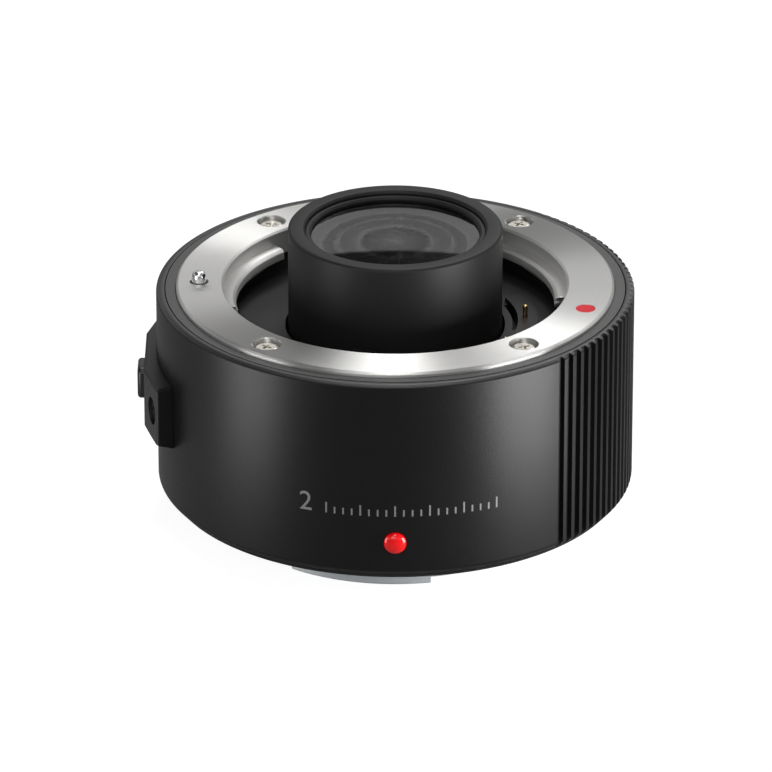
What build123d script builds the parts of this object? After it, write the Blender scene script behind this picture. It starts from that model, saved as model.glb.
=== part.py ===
from build123d import *
import os
from math import hypot

# A short camera teleconverter, standing on its rear mount, in millimetres. The origin is on the
# optical axis, in the plane of the rear mounting flange. +Z points to the lens side, -X to the
# release button and -Y to the index bead.

# Clearances and small shared values
overrun = 1.0
seat_gap = 0.05
slide_gap = 0.05
thread_gap = 0.02
rim_gap = 0.1
frame_gap = 0.3
stop_gap = 0.15
spring_end_gap = 0.02

# Radii that set the layout, each from the one inside it
tube_bore_r = 11.5
tube_wall_t = 2.2
tube_r = tube_bore_r + tube_wall_t
contact_pad_gap = 2.05
contact_pad_w = 2.55
contact_pad_in_r = tube_r + contact_pad_gap
contact_pad_out_r = contact_pad_in_r + contact_pad_w
throat_margin = 3.7
throat_r = contact_pad_out_r + throat_margin
mount_ring_w = 6.05
mount_ring_r = throat_r + mount_ring_w
frame_rim_w = 1.45
barrel_bore_r = mount_ring_r + frame_rim_w
barrel_wall_t = 1.1
body_r = barrel_bore_r + barrel_wall_t

# Body
flange_to_flange = 28.5
barrel_top_drop = 0.6
barrel_bevel_w = 0.6
barrel_bevel_h = 0.3
lower_chamfer_w = 1.3
lower_chamfer_h = 1.45
lower_edge_z = 0.81
rear_split_z = 1.45
barrel_lip_w = 0.6
barrel_lip_t = 0.8
rib_depth = 0.6
rib_groove_w = 0.86
ribs_per_turn = 126
rib_grooves = 35
first_groove_angle = -46.9

# Front mount: the throat, its ring and its three tabs
throat_edge_chamfer = 0.25
mount_ring_t = 1.8
mount_edge_chamfer = 0.3
throat_wall_t = 1.1
tab_reach = 1.6
tab_drop = 1.9
tab_t = 1.4
tab_chamfer = 0.4
tab_spans = ((135.0, 190.0), (-2.0, 60.0), (-112.0, -57.0))
screw_inset = 3.1
screw_circle_r = throat_r + screw_inset
front_screw_angles = (50.0, 130.0, -50.0, -130.0)
front_counterbore_r = 1.8
front_counterbore_h = 0.9
front_head_r = 1.35
front_head_h = 0.72
front_shank_r = 0.8
front_screw_length = 3.4
index_dot_r = 1.25
index_dot_inset = 3.55
index_dot_circle_r = throat_r + index_dot_inset
index_dot_angle = -19.1
index_dot_depth = 0.25
index_dot_t = 0.2

# Chassis
shelf_t = 3.0
shelf_bore_gap = 0.1
lip_depth = 0.9
chassis_wall_t = 1.6
rear_plate_t = 2.0
rear_plate_bore_gap = 0.4
rear_mount_t = 1.4
chassis_boss_r = 1.8
chassis_boss_h = 6.6
frame_screw_inset = 3.3
frame_screw_circle_r = barrel_bore_r - frame_screw_inset
frame_screw_angles = (0.0, 110.0, -110.0)
frame_head_r = 1.4
frame_head_h = 0.8
frame_shank_r = 0.7
frame_screw_length = 4.6

# Rear mount
rear_mount_inset = 2.2
rear_mount_r = barrel_bore_r - rear_mount_inset
rear_bore_gap = 0.3
rear_bore_r = contact_pad_out_r + rear_bore_gap
rear_spigot_t = 1.6
rear_spigot_length = 3.95
lug_reach = 1.7
lug_t = 1.5
lug_edge_chamfer = 0.2
lug_spans = ((-127.0, -78.0), (-7.0, 42.0), (113.0, 162.0))
rear_screw_inset = 2.7
rear_screw_circle_r = rear_mount_r - rear_screw_inset
rear_screw_angles = (36.0, 144.0, -36.0, -144.0)
rear_counterbore_r = 1.7
rear_counterbore_h = 0.8
rear_head_r = 1.5
rear_head_h = 0.7
rear_shank_r = 0.8
rear_screw_length = 4.0
rear_boss_r = 2.0
rear_boss_h = 2.6
camera_pin_hole_r = 1.3
camera_pin_hole_extra = 1.0

# Floor round the tube
floor_drop = 5.9
floor_t = 1.2
floor_bore_gap = 0.4
baffle_wall_t = 0.6
baffle_ear_reach = 3.8
baffle_ear_t = 1.15
baffle_screw_share = 0.6
baffle_ear_span = 18.0
baffle_ear_angles = (20.0, 100.0, -100.0)
baffle_head_r = 1.2
baffle_head_h = 0.7
baffle_shank_r = 0.6
baffle_screw_length = 3.0

# Leaf springs below the tabs
leaf_t = 0.25
leaf_bow = 0.65
leaf_length = 10.0
leaf_width = 1.3
leaf_angles = (151.5, 29.0, -84.5)

# Contacts: one pin apart from a row of ten, and the same places on the rear
contact_inset = 0.95
contact_circle_r = contact_pad_in_r + contact_inset
lone_contact_angle = 3.2
contact_row_start_angle = -33.0
contact_step_angle = -7.0
contact_row_count = 10
contact_pad_rise = 0.6
contact_pad_span = (-111.5, 26.0)
contact_pad_angle_gap = 0.4
contact_slot_w = 0.7
contact_slot_span = (-8.0, 22.0)
contact_flange_w = 0.9
contact_flange_t = 1.1
contact_body_h = 2.7
contact_body_span = (-107.0, 10.0)
contact_span_margin = 2.5
contact_ear_r = 1.1
contact_ear_angles = (-15.0, -95.0)
contact_head_r = 0.9
contact_ear_circle_r = contact_pad_out_r + contact_head_r + rim_gap
contact_head_h = 0.6
contact_shank_r = 0.5
contact_screw_length = 2.0
contact_tip_r = 0.31
contact_tip_left = 0.6
contact_tip_round = 0.2
contact_collar_r = 0.52
contact_collar_t = 0.5
contact_collar_depth = 1.6
contact_travel = 1.0
contact_stop_gap = 0.1
contact_wire_r = 0.07
contact_coil_r = 0.38
contact_coil_turns = 5
contact_board_t = 0.4
guard_rib_span = (-109.0, -98.5)
guard_rib_inset = 0.55
guard_rib_in_r = contact_pad_in_r + guard_rib_inset
guard_rib_t = 0.65
guard_rib_h = 3.0

# Rear contacts and light shield
shield_t = 1.0
shield_skirt_t = 0.6
shield_skirt_h = 3.4
shield_gap = 0.1
window_w = 22.0
window_h = 17.0
window_corner_r = 2.0
rear_block_reach = 1.3
rear_block_in_r = contact_circle_r - rear_block_reach
rear_plate_bore_r = rear_block_in_r - rear_plate_bore_gap
rear_block_h = 4.0
rear_block_span = (-116.0, 12.0)
rear_block_angle_gap = 1.0
rear_pad_r = 0.75
rear_pad_t = 0.35
rear_pad_proud = 0.1
rear_contact_screw_angles = (-15.0, -110.0)
rear_contact_head_r = 1.0
rear_contact_head_h = 0.6
rear_contact_counterbore_h = 0.8
rear_contact_shank_r = 0.55
rear_contact_screw_length = 5.0

# Electronics
board_z = 7.0
board_t = 0.8
board_bore_gap = 1.5
board_rim_gap = 0.4
board_in_r = tube_r + board_bore_gap
board_out_r = frame_screw_circle_r - chassis_boss_r - board_rim_gap
standoff_r = 1.3
standoff_inset = 1.4
standoff_circle_r = board_out_r - standoff_inset
standoff_angles = (60.0, 165.0, -80.0)
board_head_r = 1.1
board_head_h = 0.6
board_shank_r = 0.6
board_screw_length = 2.6
chip_side = 7.0
chip_t = 1.0
chip_circle_r = (board_in_r + board_out_r) / 2
chip_angle = 95.0
connector_l = 9.0
connector_w = 2.2
connector_h = 0.9
flex_angle = -53.0
flex_w = 8.0
flex_t = 0.2
front_flex_shift = 0.5
rear_flex_shift = 0.3
front_flex_r = contact_circle_r + front_flex_shift
rear_flex_r = contact_circle_r - rear_flex_shift
flex_slot_gap = 0.4

# Lens tube and optics
tube_rise = 7.6
tube_lip_round = 0.45
tube_mouth_chamfer = 0.3
tube_flange_gap = 0.3
tube_flange_r = standoff_circle_r - standoff_r - tube_flange_gap
tube_flange_t = 1.2
tube_screw_inset = 2.1
tube_screw_circle_r = tube_flange_r - tube_screw_inset
tube_screw_angles = (10.0, 130.0, -110.0)
tube_head_r = 1.2
tube_head_h = 0.7
tube_shank_r = 0.6
tube_screw_length = 2.8
glass_gap = 0.05
mouth_depth = 0.55
retainer_t = 0.6
retainer_w = 0.7
rear_retainer_t = 1.0
rear_recess = 0.4
clear_margin = 0.85
shoulder_t = 0.6
glass_1_edge = 1.55
glass_1_front_rise = 0.5
glass_1_rear_rise = 1.8
glass_2_edge = 4.8
glass_2_rear_dish = 1.2
glass_3_edge = 4.0
glass_3_front_dish = 1.0
glass_3_rear_dish = 1.2
glass_4_edge = 2.2
glass_4_front_rise = 0.8
glass_4_rear_rise = 1.6
glass_5_edge = 4.0
glass_5_rear_dish = 0.9
glass_6_edge = 3.0
glass_6_front_rise = 1.2
glass_6_rear_rise = 0.8
glass_7_edge = 2.6
glass_7_front_dish = 0.6
glass_7_rear_dish = 0.5
middle_spacer_h = 3.0
rear_spacer_h = 2.0

# Release block on the barrel
housing_top_drop = 9.4
housing_h = 8.7
housing_draft = 0.95
housing_out = 1.5
housing_shoulder_in = 1.8
housing_flat_half = 5.8
housing_half = 12.3
housing_shift = -0.7
housing_side_run = 4.2
housing_side_rise = 2.4
housing_edge_chamfer = 0.3
housing_corner_r = 0.3
housing_wall_t = 0.8
housing_hole_share = 0.39
housing_hole_r = 1.83
housing_hole_depth = 1.2
housing_hole_drop = 4.0
housing_head_r = 1.5
housing_head_h = 0.8
housing_shank_r = 0.75
housing_screw_length = 4.2

# Release button, its plunger and spring
button_drop = 13.6
button_w = 4.4
button_h = 4.3
button_corner_r = 0.9
button_edge_r = 0.25
button_left_proud = 0.1
button_travel = 0.9
button_gap = 0.12
button_flange_w = 6.0
button_flange_h = 5.9
button_flange_t = 0.8
flange_room = 0.25
plunger_r = 0.9
plunger_lift = 1.4
plunger_seat = 0.6
plunger_play = 0.15
button_wire_r = 0.13
button_coil_r = 1.18
button_coil_turns = 4

# Lock pin
lock_pin_x = -screw_circle_r
lock_pin_r = 0.92
lock_pin_rise = 1.5
lock_pin_dome = 0.55
lock_pin_hole_r = 1.25
lock_pin_flange_r = 1.7
lock_pin_flange_t = 0.8
lock_pin_stop_gap = 0.3
lock_wire_r = 0.15
lock_coil_r = 1.45
lock_coil_turns = 4
pin_waist_r = 0.5
pin_waist_h = 1.5
pin_foot_h = 0.7
waist_drop = 0.5

# Lever and its bracket
bracket_inset = 2.5
bracket_x = bracket_inset - barrel_bore_r
bracket_t = 0.7
bracket_side_inset = 6.0
bracket_drop = 4.0
bracket_overhang = 1.4
bracket_plate_h = 9.5
ear_in_half = 1.9
ear_h = 3.5
pad_margin = 0.3
window_side_gap = 0.7
lever_arm_l = 6.1
lever_pivot_x = lock_pin_x + lever_arm_l
pivot_pin_r = 0.6
lever_hub_r = 1.4
lever_hub_half = 1.7
lever_arm_t = 0.7
lever_half = 1.5
lever_tail_t = 1.2
lever_tail_half = 1.2
lever_tail_extra = 0.6
lever_end_gap = 0.2
fork_gap = 0.1
bracket_screw_inset = 1.3
bracket_head_r = 1.1
bracket_head_h = 0.6
bracket_shank_r = 0.55
bracket_screw_length = 2.2

# Index bead on the side
bead_z = 6.25
bead_r = 1.43
bead_dome_h = 0.75
bead_proud = 0.1

# Heights and radii that follow
ring_face_z = flange_to_flange
ring_seat_z = ring_face_z - mount_ring_t
barrel_top_z = ring_face_z - barrel_top_drop
shelf_z = ring_seat_z - shelf_t
throat_wall_r = throat_r + throat_wall_t
shelf_bore_r = throat_wall_r + shelf_bore_gap
tab_top_z = ring_face_z - tab_drop
tab_bottom_z = tab_top_z - tab_t
chassis_r = barrel_bore_r - frame_gap
chassis_in_r = chassis_r - chassis_wall_t
rear_plate_top_z = rear_mount_t + rear_plate_t
floor_top_z = ring_face_z - floor_drop
floor_z = floor_top_z - floor_t
leaf_z = tab_bottom_z - leaf_t
tube_top_z = ring_face_z + tube_rise
tube_flange_top_z = rear_plate_top_z + tube_flange_t
glass_r = tube_bore_r - glass_gap
clear_r = glass_r - clear_margin
spacer_in_r = clear_r + glass_gap
pad_top_z = floor_top_z + contact_pad_rise
contact_flange_z = floor_z - contact_flange_t
contact_block_z = contact_flange_z - contact_body_h
collar_top_z = pad_top_z - contact_collar_depth - contact_stop_gap
board_top_z = board_z + board_t
connector_top_z = board_top_z + connector_h
shield_top_z = rear_mount_t
shield_z = shield_top_z - shield_t
rear_block_z = shield_z - rear_block_h
skirt_r = rear_bore_r - shield_gap
spigot_r = rear_bore_r + rear_spigot_t
lug_r = spigot_r + lug_reach
housing_top_z = ring_face_z - housing_top_drop
housing_z = housing_top_z - housing_h
housing_x = -(body_r + housing_out)
button_z = ring_face_z - button_drop
plunger_z = button_z - plunger_lift
button_flange_x = housing_x + housing_wall_t + stop_gap
button_back_x = button_flange_x + button_flange_t
lock_pin_top_z = ring_face_z + lock_pin_rise
lock_flange_top_z = shelf_z - lock_pin_stop_gap
lock_flange_z = lock_flange_top_z - lock_pin_flange_t
bracket_top_z = shelf_z - bracket_drop
bracket_under_z = bracket_top_z - bracket_t
bracket_end_x = lever_pivot_x + bracket_overhang
bracket_half = housing_half - bracket_side_inset
bracket_screw_y = bracket_half - bracket_screw_inset
waist_top_z = bracket_under_z - waist_drop
waist_z = waist_top_z - pin_waist_h
fork_z = (waist_top_z + waist_z) / 2
pivot_z = fork_z - (lever_arm_t - seat_gap)
lever_tail_x = lever_pivot_x - lever_tail_t / 2

ALL = (Align.CENTER, Align.CENTER, Align.MIN)


def turned(points, span=None):
    """A body of revolution from (radius, height) points, whole or between two angles."""
    face = make_face(Polyline([(r, 0, z) for r, z in points], close=True))
    if span is None:
        return revolve(face, Axis.Z)
    return Rot(0, 0, span[0]) * revolve(face, Axis.Z, span[1] - span[0])


def ring(inner_r, outer_r, bottom, top, span=None):
    """A flat ring, or a sector of one."""
    return turned([(inner_r, bottom), (outer_r, bottom), (outer_r, top), (inner_r, top)], span)


def post(radius, bottom, top):
    """An upright round bar on the optical axis."""
    return Pos(0, 0, bottom) * Cylinder(radius, top - bottom, align=ALL)


def block(x, y, z):
    """A box between the low and high value of each axis."""
    size = (x[1] - x[0], y[1] - y[0], z[1] - z[0])
    return Pos(x[0], y[0], z[0]) * Box(*size, align=(Align.MIN, Align.MIN, Align.MIN))


def place(radius, angle):
    """A place at a radius and an angle round the optical axis."""
    return Rot(0, 0, angle) * Pos(radius, 0, 0)


def ring_of(shape, radius, angles):
    """Copies of a shape at one radius and several angles."""
    return [place(radius, angle) * shape for angle in angles]


def widened(span, margin):
    """A span of angles with a margin added at both ends."""
    return (span[0] - margin, span[1] + margin)


def screw(head_r, head_h, shank_r, length):
    """A cross-head screw that points down, with the seat of its head at zero height."""
    cross_length_share = 0.62
    cross_width_share = 0.17
    cross_depth_share = 0.6
    head_round_share = 0.3
    head = post(head_r, 0, head_h)
    head = fillet(head.edges().group_by(Axis.Z)[-1], head_h * head_round_share)
    long = 2 * head_r * cross_length_share
    narrow = 2 * head_r * cross_width_share
    deep = head_h * cross_depth_share
    bar = Pos(0, 0, head_h - deep) * Box(long, narrow, deep + overrun, align=ALL)
    return head - bar - Rot(0, 0, 90) * bar + post(shank_r, -length, 0)


def coil(coil_r, wire_r, height, turns):
    """An open coil spring that stands on zero height."""
    rise = height - 2 * wire_r - 2 * spring_end_gap
    path = Helix(rise / turns, rise, coil_r)
    wire = sweep(Plane(path @ 0, z_dir=path % 0) * Circle(wire_r), path=path, is_frenet=True)
    return Pos(0, 0, wire_r + spring_end_gap) * wire


def glass(top_z, bottom_z, top_rise, bottom_rise):
    """A lens element with a flat edge and domed or dished faces. A rise is positive outwards."""
    top = TangentArc((0, 0, top_z + top_rise), (clear_r, 0, top_z), tangent=(1, 0, 0))
    bottom = TangentArc((0, 0, bottom_z - bottom_rise), (clear_r, 0, bottom_z), tangent=(1, 0, 0))
    corners = [(clear_r, top_z), (glass_r, top_z), (glass_r, bottom_z), (clear_r, bottom_z)]
    rim = Polyline([(r, 0, z) for r, z in corners])
    axis = Line(top @ 0, bottom @ 0)
    return revolve(make_face([top, rim, bottom, axis]), Axis.Z)


def chamfer_r(height):
    """Radius of the barrel's lower chamfer at a height."""
    return body_r - lower_chamfer_w * (lower_edge_z + lower_chamfer_h - height) / lower_chamfer_h


def contact_angles():
    """Angles of the contacts: one apart, then an even row."""
    row = [contact_row_start_angle + contact_step_angle * n for n in range(contact_row_count)]
    return [lone_contact_angle] + row


def housing_corners():
    """The outer corners of the release block seen from above, from -Y to +Y."""
    shoulder_x = housing_x + housing_shoulder_in
    return [
        (shoulder_x, housing_shift - housing_half),
        (housing_x, housing_shift - housing_flat_half),
        (housing_x, housing_shift + housing_flat_half),
        (shoulder_x, housing_shift + housing_half),
    ]


def housing_screw_places():
    """Locations on the two sloped faces of the block, with +Z out of the face."""
    corners = housing_corners()
    found = []
    for shoulder, flat in ((corners[0], corners[1]), (corners[3], corners[2])):
        x = shoulder[0] + (flat[0] - shoulder[0]) * housing_hole_share
        y = shoulder[1] + (flat[1] - shoulder[1]) * housing_hole_share
        away = -1 if shoulder[1] < flat[1] else 1
        slope = Vector(-abs(flat[1] - shoulder[1]), away * (shoulder[0] - flat[0]), 0)
        found.append(Plane((x, y, housing_top_z - housing_hole_drop), z_dir=slope).location)
    return found


def outer_barrel():
    """The outer tube: bevelled rim, lower chamfer, inner lip, grip ribs and the openings of its side."""
    lip_top = rear_split_z + barrel_lip_t
    lip_r = barrel_bore_r - barrel_lip_w
    chamfer_top = lower_edge_z + lower_chamfer_h
    tube = turned([
        (lip_r, rear_split_z),
        (chamfer_r(rear_split_z), rear_split_z),
        (body_r, chamfer_top),
        (body_r, barrel_top_z - barrel_bevel_h),
        (body_r - barrel_bevel_w, barrel_top_z),
        (barrel_bore_r, barrel_top_z),
        (barrel_bore_r, lip_top),
        (lip_r, lip_top),
    ])
    reach = (body_r - rib_depth, body_r + overrun)
    groove = block((0, reach[1] - reach[0]), (-rib_groove_w / 2, rib_groove_w / 2),
                   (0, barrel_top_z + overrun))
    pitch = 360 / ribs_per_turn
    grooves = ring_of(groove, reach[0], [first_groove_angle + pitch * n for n in range(rib_grooves)])
    bead_hole = Pos(0, -body_r, bead_z) * Rot(90, 0, 0) * Cylinder(bead_r + slide_gap, body_r / 2)
    shank = Cylinder(housing_shank_r + thread_gap, body_r / 2)
    return tube - grooves - bead_hole - flange_window() - [at * shank for at in housing_screw_places()]


def flange_window():
    """The room in barrel and block for the flange of the button."""
    half = button_flange_w / 2 + flange_room
    low = button_z - button_flange_h / 2 - flange_room
    high = button_z + button_flange_h / 2 + flange_room
    return block((button_flange_x - stop_gap, bracket_x), (-half, half), (low, high))


def front_frame():
    """The chassis: shelf under the steel ring, rim, side wall, screw bosses and the flat for the bracket."""
    lip_z = barrel_top_z - lip_depth
    rim_r = barrel_bore_r - rim_gap
    seat_r = mount_ring_r + rim_gap
    body = turned([
        (chassis_in_r, rear_plate_top_z),
        (chassis_r, rear_plate_top_z),
        (chassis_r, lip_z),
        (rim_r, lip_z),
        (rim_r, barrel_top_z),
        (seat_r, barrel_top_z),
        (seat_r, ring_seat_z),
        (shelf_bore_r, ring_seat_z),
        (shelf_bore_r, shelf_z),
        (chassis_in_r, shelf_z),
    ])
    boss = post(chassis_boss_r, rear_plate_top_z, rear_plate_top_z + chassis_boss_h)
    body += ring_of(boss, frame_screw_circle_r, frame_screw_angles)
    pad_y = bracket_half + pad_margin
    pad_z = (bracket_top_z - bracket_plate_h - pad_margin, bracket_top_z + pad_margin)
    pad = post(chassis_r, *pad_z) & block((-body_r, bracket_x), (-pad_y, pad_y), pad_z)
    body = body + pad - block((bracket_x, bracket_x + body_r / 2), (-pad_y, pad_y), pad_z)
    window_y = button_flange_w / 2 + window_side_gap
    window_half_h = button_flange_h / 2 + window_side_gap
    window_z = (button_z - window_half_h, button_z + window_half_h)
    body -= block((-body_r, bracket_x + overrun), (-window_y, window_y), window_z)
    body -= ring_of(post(front_shank_r + thread_gap, ring_seat_z - front_screw_length, ring_face_z),
                    screw_circle_r, front_screw_angles)
    body -= ring_of(post(frame_shank_r + thread_gap, 0, rear_plate_top_z + frame_screw_length),
                    frame_screw_circle_r, frame_screw_angles)
    body -= ring_of(post(baffle_shank_r + thread_gap, shelf_z - overrun, ring_seat_z),
                    baffle_screw_r(), baffle_ear_angles)
    body -= Pos(lock_pin_x, 0, 0) * post(lock_pin_r + slide_gap, shelf_z - overrun, ring_face_z)
    deep = Cylinder(housing_shank_r + thread_gap, body_r / 2)
    body -= [at * deep for at in housing_screw_places()]
    hole = Cylinder(bracket_shank_r + thread_gap, body_r / 2)
    return body - [at * hole for at in bracket_screw_places()]


def rear_frame():
    """The closing plate at the rear, with the last step of the lower chamfer, bosses and standoffs."""
    lip_r = barrel_bore_r - barrel_lip_w
    rim_z = rear_split_z - rim_gap
    plate = turned([
        (rear_plate_bore_r, rear_mount_t),
        (rear_mount_r + rim_gap, rear_mount_t),
        (rear_mount_r + rim_gap, lower_edge_z),
        (chamfer_r(lower_edge_z), lower_edge_z),
        (chamfer_r(rim_z), rim_z),
        (lip_r - rim_gap, rim_z),
        (lip_r - rim_gap, rear_plate_top_z),
        (rear_plate_bore_r, rear_plate_top_z),
    ])
    boss = post(rear_boss_r, rear_mount_t, rear_plate_top_z + rear_boss_h)
    plate += ring_of(boss, rear_screw_circle_r, rear_screw_angles)
    plate += ring_of(post(standoff_r, rear_mount_t, board_z), standoff_circle_r, standoff_angles)
    rear_hole = post(rear_shank_r + thread_gap, 0, rear_counterbore_h + rear_screw_length)
    plate -= ring_of(rear_hole, rear_screw_circle_r, rear_screw_angles)
    plate -= ring_of(post(board_shank_r + thread_gap, board_top_z - board_screw_length, board_top_z),
                     standoff_circle_r, standoff_angles)
    head_room = post(frame_head_r + rim_gap, 0, rear_mount_t + frame_head_h + rim_gap)
    shank_room = post(frame_shank_r + thread_gap, 0, rear_plate_top_z + overrun)
    plate -= ring_of(head_room + shank_room, frame_screw_circle_r, frame_screw_angles)
    plate -= ring_of(post(tube_shank_r + thread_gap, tube_flange_top_z - tube_screw_length, board_z),
                     tube_screw_circle_r, tube_screw_angles)
    contact_screw_top = rear_contact_seat() + rear_contact_screw_length
    plate -= ring_of(post(rear_contact_shank_r + thread_gap, 0, contact_screw_top),
                     contact_circle_r, rear_contact_screw_angles)
    plate -= place(-lock_pin_x, 180) * post(camera_pin_hole_r, 0, rear_mount_t + camera_pin_hole_extra)
    return plate - flex_slot(0, board_z)


def flex_slot(bottom, top):
    """The slot that the rear flex passes through."""
    half = flex_w / 2 + flex_slot_gap
    slot = block((-flex_slot_gap, flex_t + flex_slot_gap), (-half, half), (bottom, top))
    return place(rear_flex_r, flex_angle) * slot


def front_mount_ring():
    """The steel bayonet ring: face, throat wall, three tabs, counterbores, pin hole and index recess."""
    body = turned([
        (throat_r, tab_bottom_z),
        (throat_wall_r, tab_bottom_z),
        (throat_wall_r, ring_seat_z),
        (mount_ring_r, ring_seat_z),
        (mount_ring_r, ring_face_z - mount_edge_chamfer),
        (mount_ring_r - mount_edge_chamfer, ring_face_z),
        (throat_r + throat_edge_chamfer, ring_face_z),
        (throat_r, ring_face_z - throat_edge_chamfer),
    ])
    tab_r = throat_r - tab_reach
    for span in tab_spans:
        body += turned([
            (tab_r, tab_bottom_z),
            (throat_r + seat_gap, tab_bottom_z),
            (throat_r + seat_gap, tab_top_z),
            (tab_r + tab_chamfer, tab_top_z),
            (tab_r, tab_top_z - tab_chamfer),
        ], span)
    seat_z = ring_face_z - front_counterbore_h
    hole = post(front_counterbore_r, seat_z, ring_face_z + overrun)
    hole += post(front_shank_r + rim_gap, ring_seat_z - overrun, seat_z + overrun)
    body -= ring_of(hole, screw_circle_r, front_screw_angles)
    body -= Pos(lock_pin_x, 0, 0) * post(lock_pin_hole_r, ring_seat_z - overrun, ring_face_z + overrun)
    dot = post(index_dot_r, ring_face_z - index_dot_depth, ring_face_z + overrun)
    return body - place(index_dot_circle_r, index_dot_angle) * dot


def front_mount_screws():
    """The four screws of the steel ring."""
    one = Pos(0, 0, ring_face_z - front_counterbore_h) * screw(
        front_head_r, front_head_h, front_shank_r, front_screw_length)
    return ring_of(one, screw_circle_r, front_screw_angles)


def front_index_dot():
    """The paint fill of the index recess."""
    low = ring_face_z - index_dot_depth
    return place(index_dot_circle_r, index_dot_angle) * post(index_dot_r, low, low + index_dot_t)


def bayonet_spring():
    """A thin ring with three bowed leaves below the tabs."""
    base_in_r = throat_wall_r - baffle_wall_t - rim_gap
    base = ring(base_in_r, throat_wall_r, leaf_z, tab_bottom_z)
    half = leaf_length / 2
    out_r = base_in_r + seat_gap
    upper, lower = [
        ThreePointArc((0, -half, z), (0, 0, z - leaf_bow), (0, half, z)) for z in (tab_bottom_z, leaf_z)
    ]
    ends = [Line(upper @ 1, lower @ 1), Line(lower @ 0, upper @ 0)]
    strip = extrude(make_face([upper, ends[0], lower, ends[1]]), throat_wall_r, dir=(1, 0, 0))
    band = ring(out_r - leaf_width, out_r, leaf_z - leaf_bow - overrun, tab_bottom_z + overrun)
    for angle in leaf_angles:
        base += (Rot(0, 0, angle) * strip) & band
    return base


def baffle_screw_r():
    """Radius of the circle of the floor's screws."""
    return throat_wall_r + baffle_ear_reach * baffle_screw_share


def inner_baffle():
    """The dark floor round the tube, with its wall, three ears and the slot of the contacts."""
    bore_r = tube_r + floor_bore_gap
    wall_r = throat_wall_r - baffle_wall_t
    body = turned([
        (bore_r, floor_z),
        (throat_wall_r, floor_z),
        (throat_wall_r, leaf_z - seat_gap),
        (wall_r, leaf_z - seat_gap),
        (wall_r, floor_top_z),
        (bore_r, floor_top_z),
    ])
    ear_top = shelf_z - seat_gap
    for angle in baffle_ear_angles:
        span = (angle - baffle_ear_span / 2, angle + baffle_ear_span / 2)
        body += ring(wall_r, throat_wall_r + baffle_ear_reach, ear_top - baffle_ear_t, ear_top, span)
    body -= ring_of(post(baffle_shank_r + thread_gap, floor_z, ring_seat_z),
                    baffle_screw_r(), baffle_ear_angles)
    body -= ring(contact_pad_in_r - rim_gap, contact_pad_out_r + rim_gap, floor_z - overrun,
                 floor_top_z + overrun, widened(contact_pad_span, contact_pad_angle_gap))
    body -= ring(contact_pad_in_r - contact_slot_w, contact_pad_in_r, floor_z - overrun,
                 floor_top_z + overrun, contact_slot_span)
    hole = post(contact_shank_r + thread_gap, floor_z - overrun, contact_flange_z + contact_screw_length)
    return body - ring_of(hole, contact_ear_circle_r, contact_ear_angles)


def baffle_screws():
    """The three screws that hold the floor from below."""
    one = Pos(0, 0, shelf_z - seat_gap - baffle_ear_t) * Rot(180, 0, 0) * screw(
        baffle_head_r, baffle_head_h, baffle_shank_r, baffle_screw_length)
    return ring_of(one, baffle_screw_r(), baffle_ear_angles)


def frame_screws():
    """The three screws that close the chassis from the rear."""
    one = Pos(0, 0, rear_mount_t + rim_gap + frame_head_h) * Rot(180, 0, 0) * screw(
        frame_head_r, frame_head_h, frame_shank_r, frame_screw_length)
    return ring_of(one, frame_screw_circle_r, frame_screw_angles)


def rear_mount():
    """The steel rear bayonet: plate, spigot and three lugs, with counterbores and a pin hole."""
    body = ring(rear_bore_r, rear_mount_r, 0, rear_mount_t)
    body += ring(rear_bore_r, spigot_r, -rear_spigot_length, 0)
    lug_top = lug_t - rear_spigot_length
    for span in lug_spans:
        body += turned([
            (rear_bore_r, -rear_spigot_length),
            (lug_r - lug_edge_chamfer, -rear_spigot_length),
            (lug_r, lug_edge_chamfer - rear_spigot_length),
            (lug_r, lug_top - lug_edge_chamfer),
            (lug_r - lug_edge_chamfer, lug_top),
            (rear_bore_r, lug_top),
        ], span)
    hole = post(rear_counterbore_r, -overrun, rear_counterbore_h)
    hole += post(rear_shank_r + rim_gap, -overrun, rear_mount_t + overrun)
    body -= ring_of(hole, rear_screw_circle_r, rear_screw_angles)
    return body - place(-lock_pin_x, 180) * post(camera_pin_hole_r, -overrun, rear_mount_t + overrun)


def rear_mount_screws():
    """The four screws of the rear mount."""
    one = Pos(0, 0, rear_counterbore_h) * Rot(180, 0, 0) * screw(
        rear_head_r, rear_head_h, rear_shank_r, rear_screw_length)
    return ring_of(one, rear_screw_circle_r, rear_screw_angles)


def rear_baffle():
    """The light shield in the rear bore: a disc with a picture window and a skirt."""
    skirt_z = shield_z - shield_skirt_h
    body = post(skirt_r, shield_z, shield_top_z)
    skirt = ring(skirt_r - shield_skirt_t, skirt_r, skirt_z, shield_z)
    room = ring(rear_block_in_r, rear_bore_r + overrun, skirt_z - overrun, shield_z,
                widened(rear_block_span, rear_block_angle_gap))
    opening = RectangleRounded(window_w, window_h, window_corner_r)
    body -= Pos(0, 0, shield_z - overrun) * extrude(opening, shield_t + 2 * overrun)
    hole = post(rear_contact_shank_r + rim_gap, shield_z - overrun, shield_top_z + overrun)
    body -= ring_of(hole, contact_circle_r, rear_contact_screw_angles)
    return body + (skirt - room) - flex_slot(shield_z, shield_top_z)


def rear_contact_seat():
    """Height of the seats of the rear contact block's screws."""
    return rear_block_z + rear_contact_counterbore_h


def rear_contact_block():
    """The block that carries the rear contact pads."""
    body = ring(rear_block_in_r, skirt_r, rear_block_z, shield_z, rear_block_span)
    recess = post(rear_pad_r, rear_block_z - overrun, rear_block_z - rear_pad_proud + rear_pad_t)
    body -= ring_of(recess, contact_circle_r, contact_angles())
    hole = post(rear_contact_head_r + rim_gap, rear_block_z - overrun, rear_contact_seat())
    hole += post(rear_contact_shank_r + rim_gap, rear_block_z - overrun, shield_z + overrun)
    return body - ring_of(hole, contact_circle_r, rear_contact_screw_angles)


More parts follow.
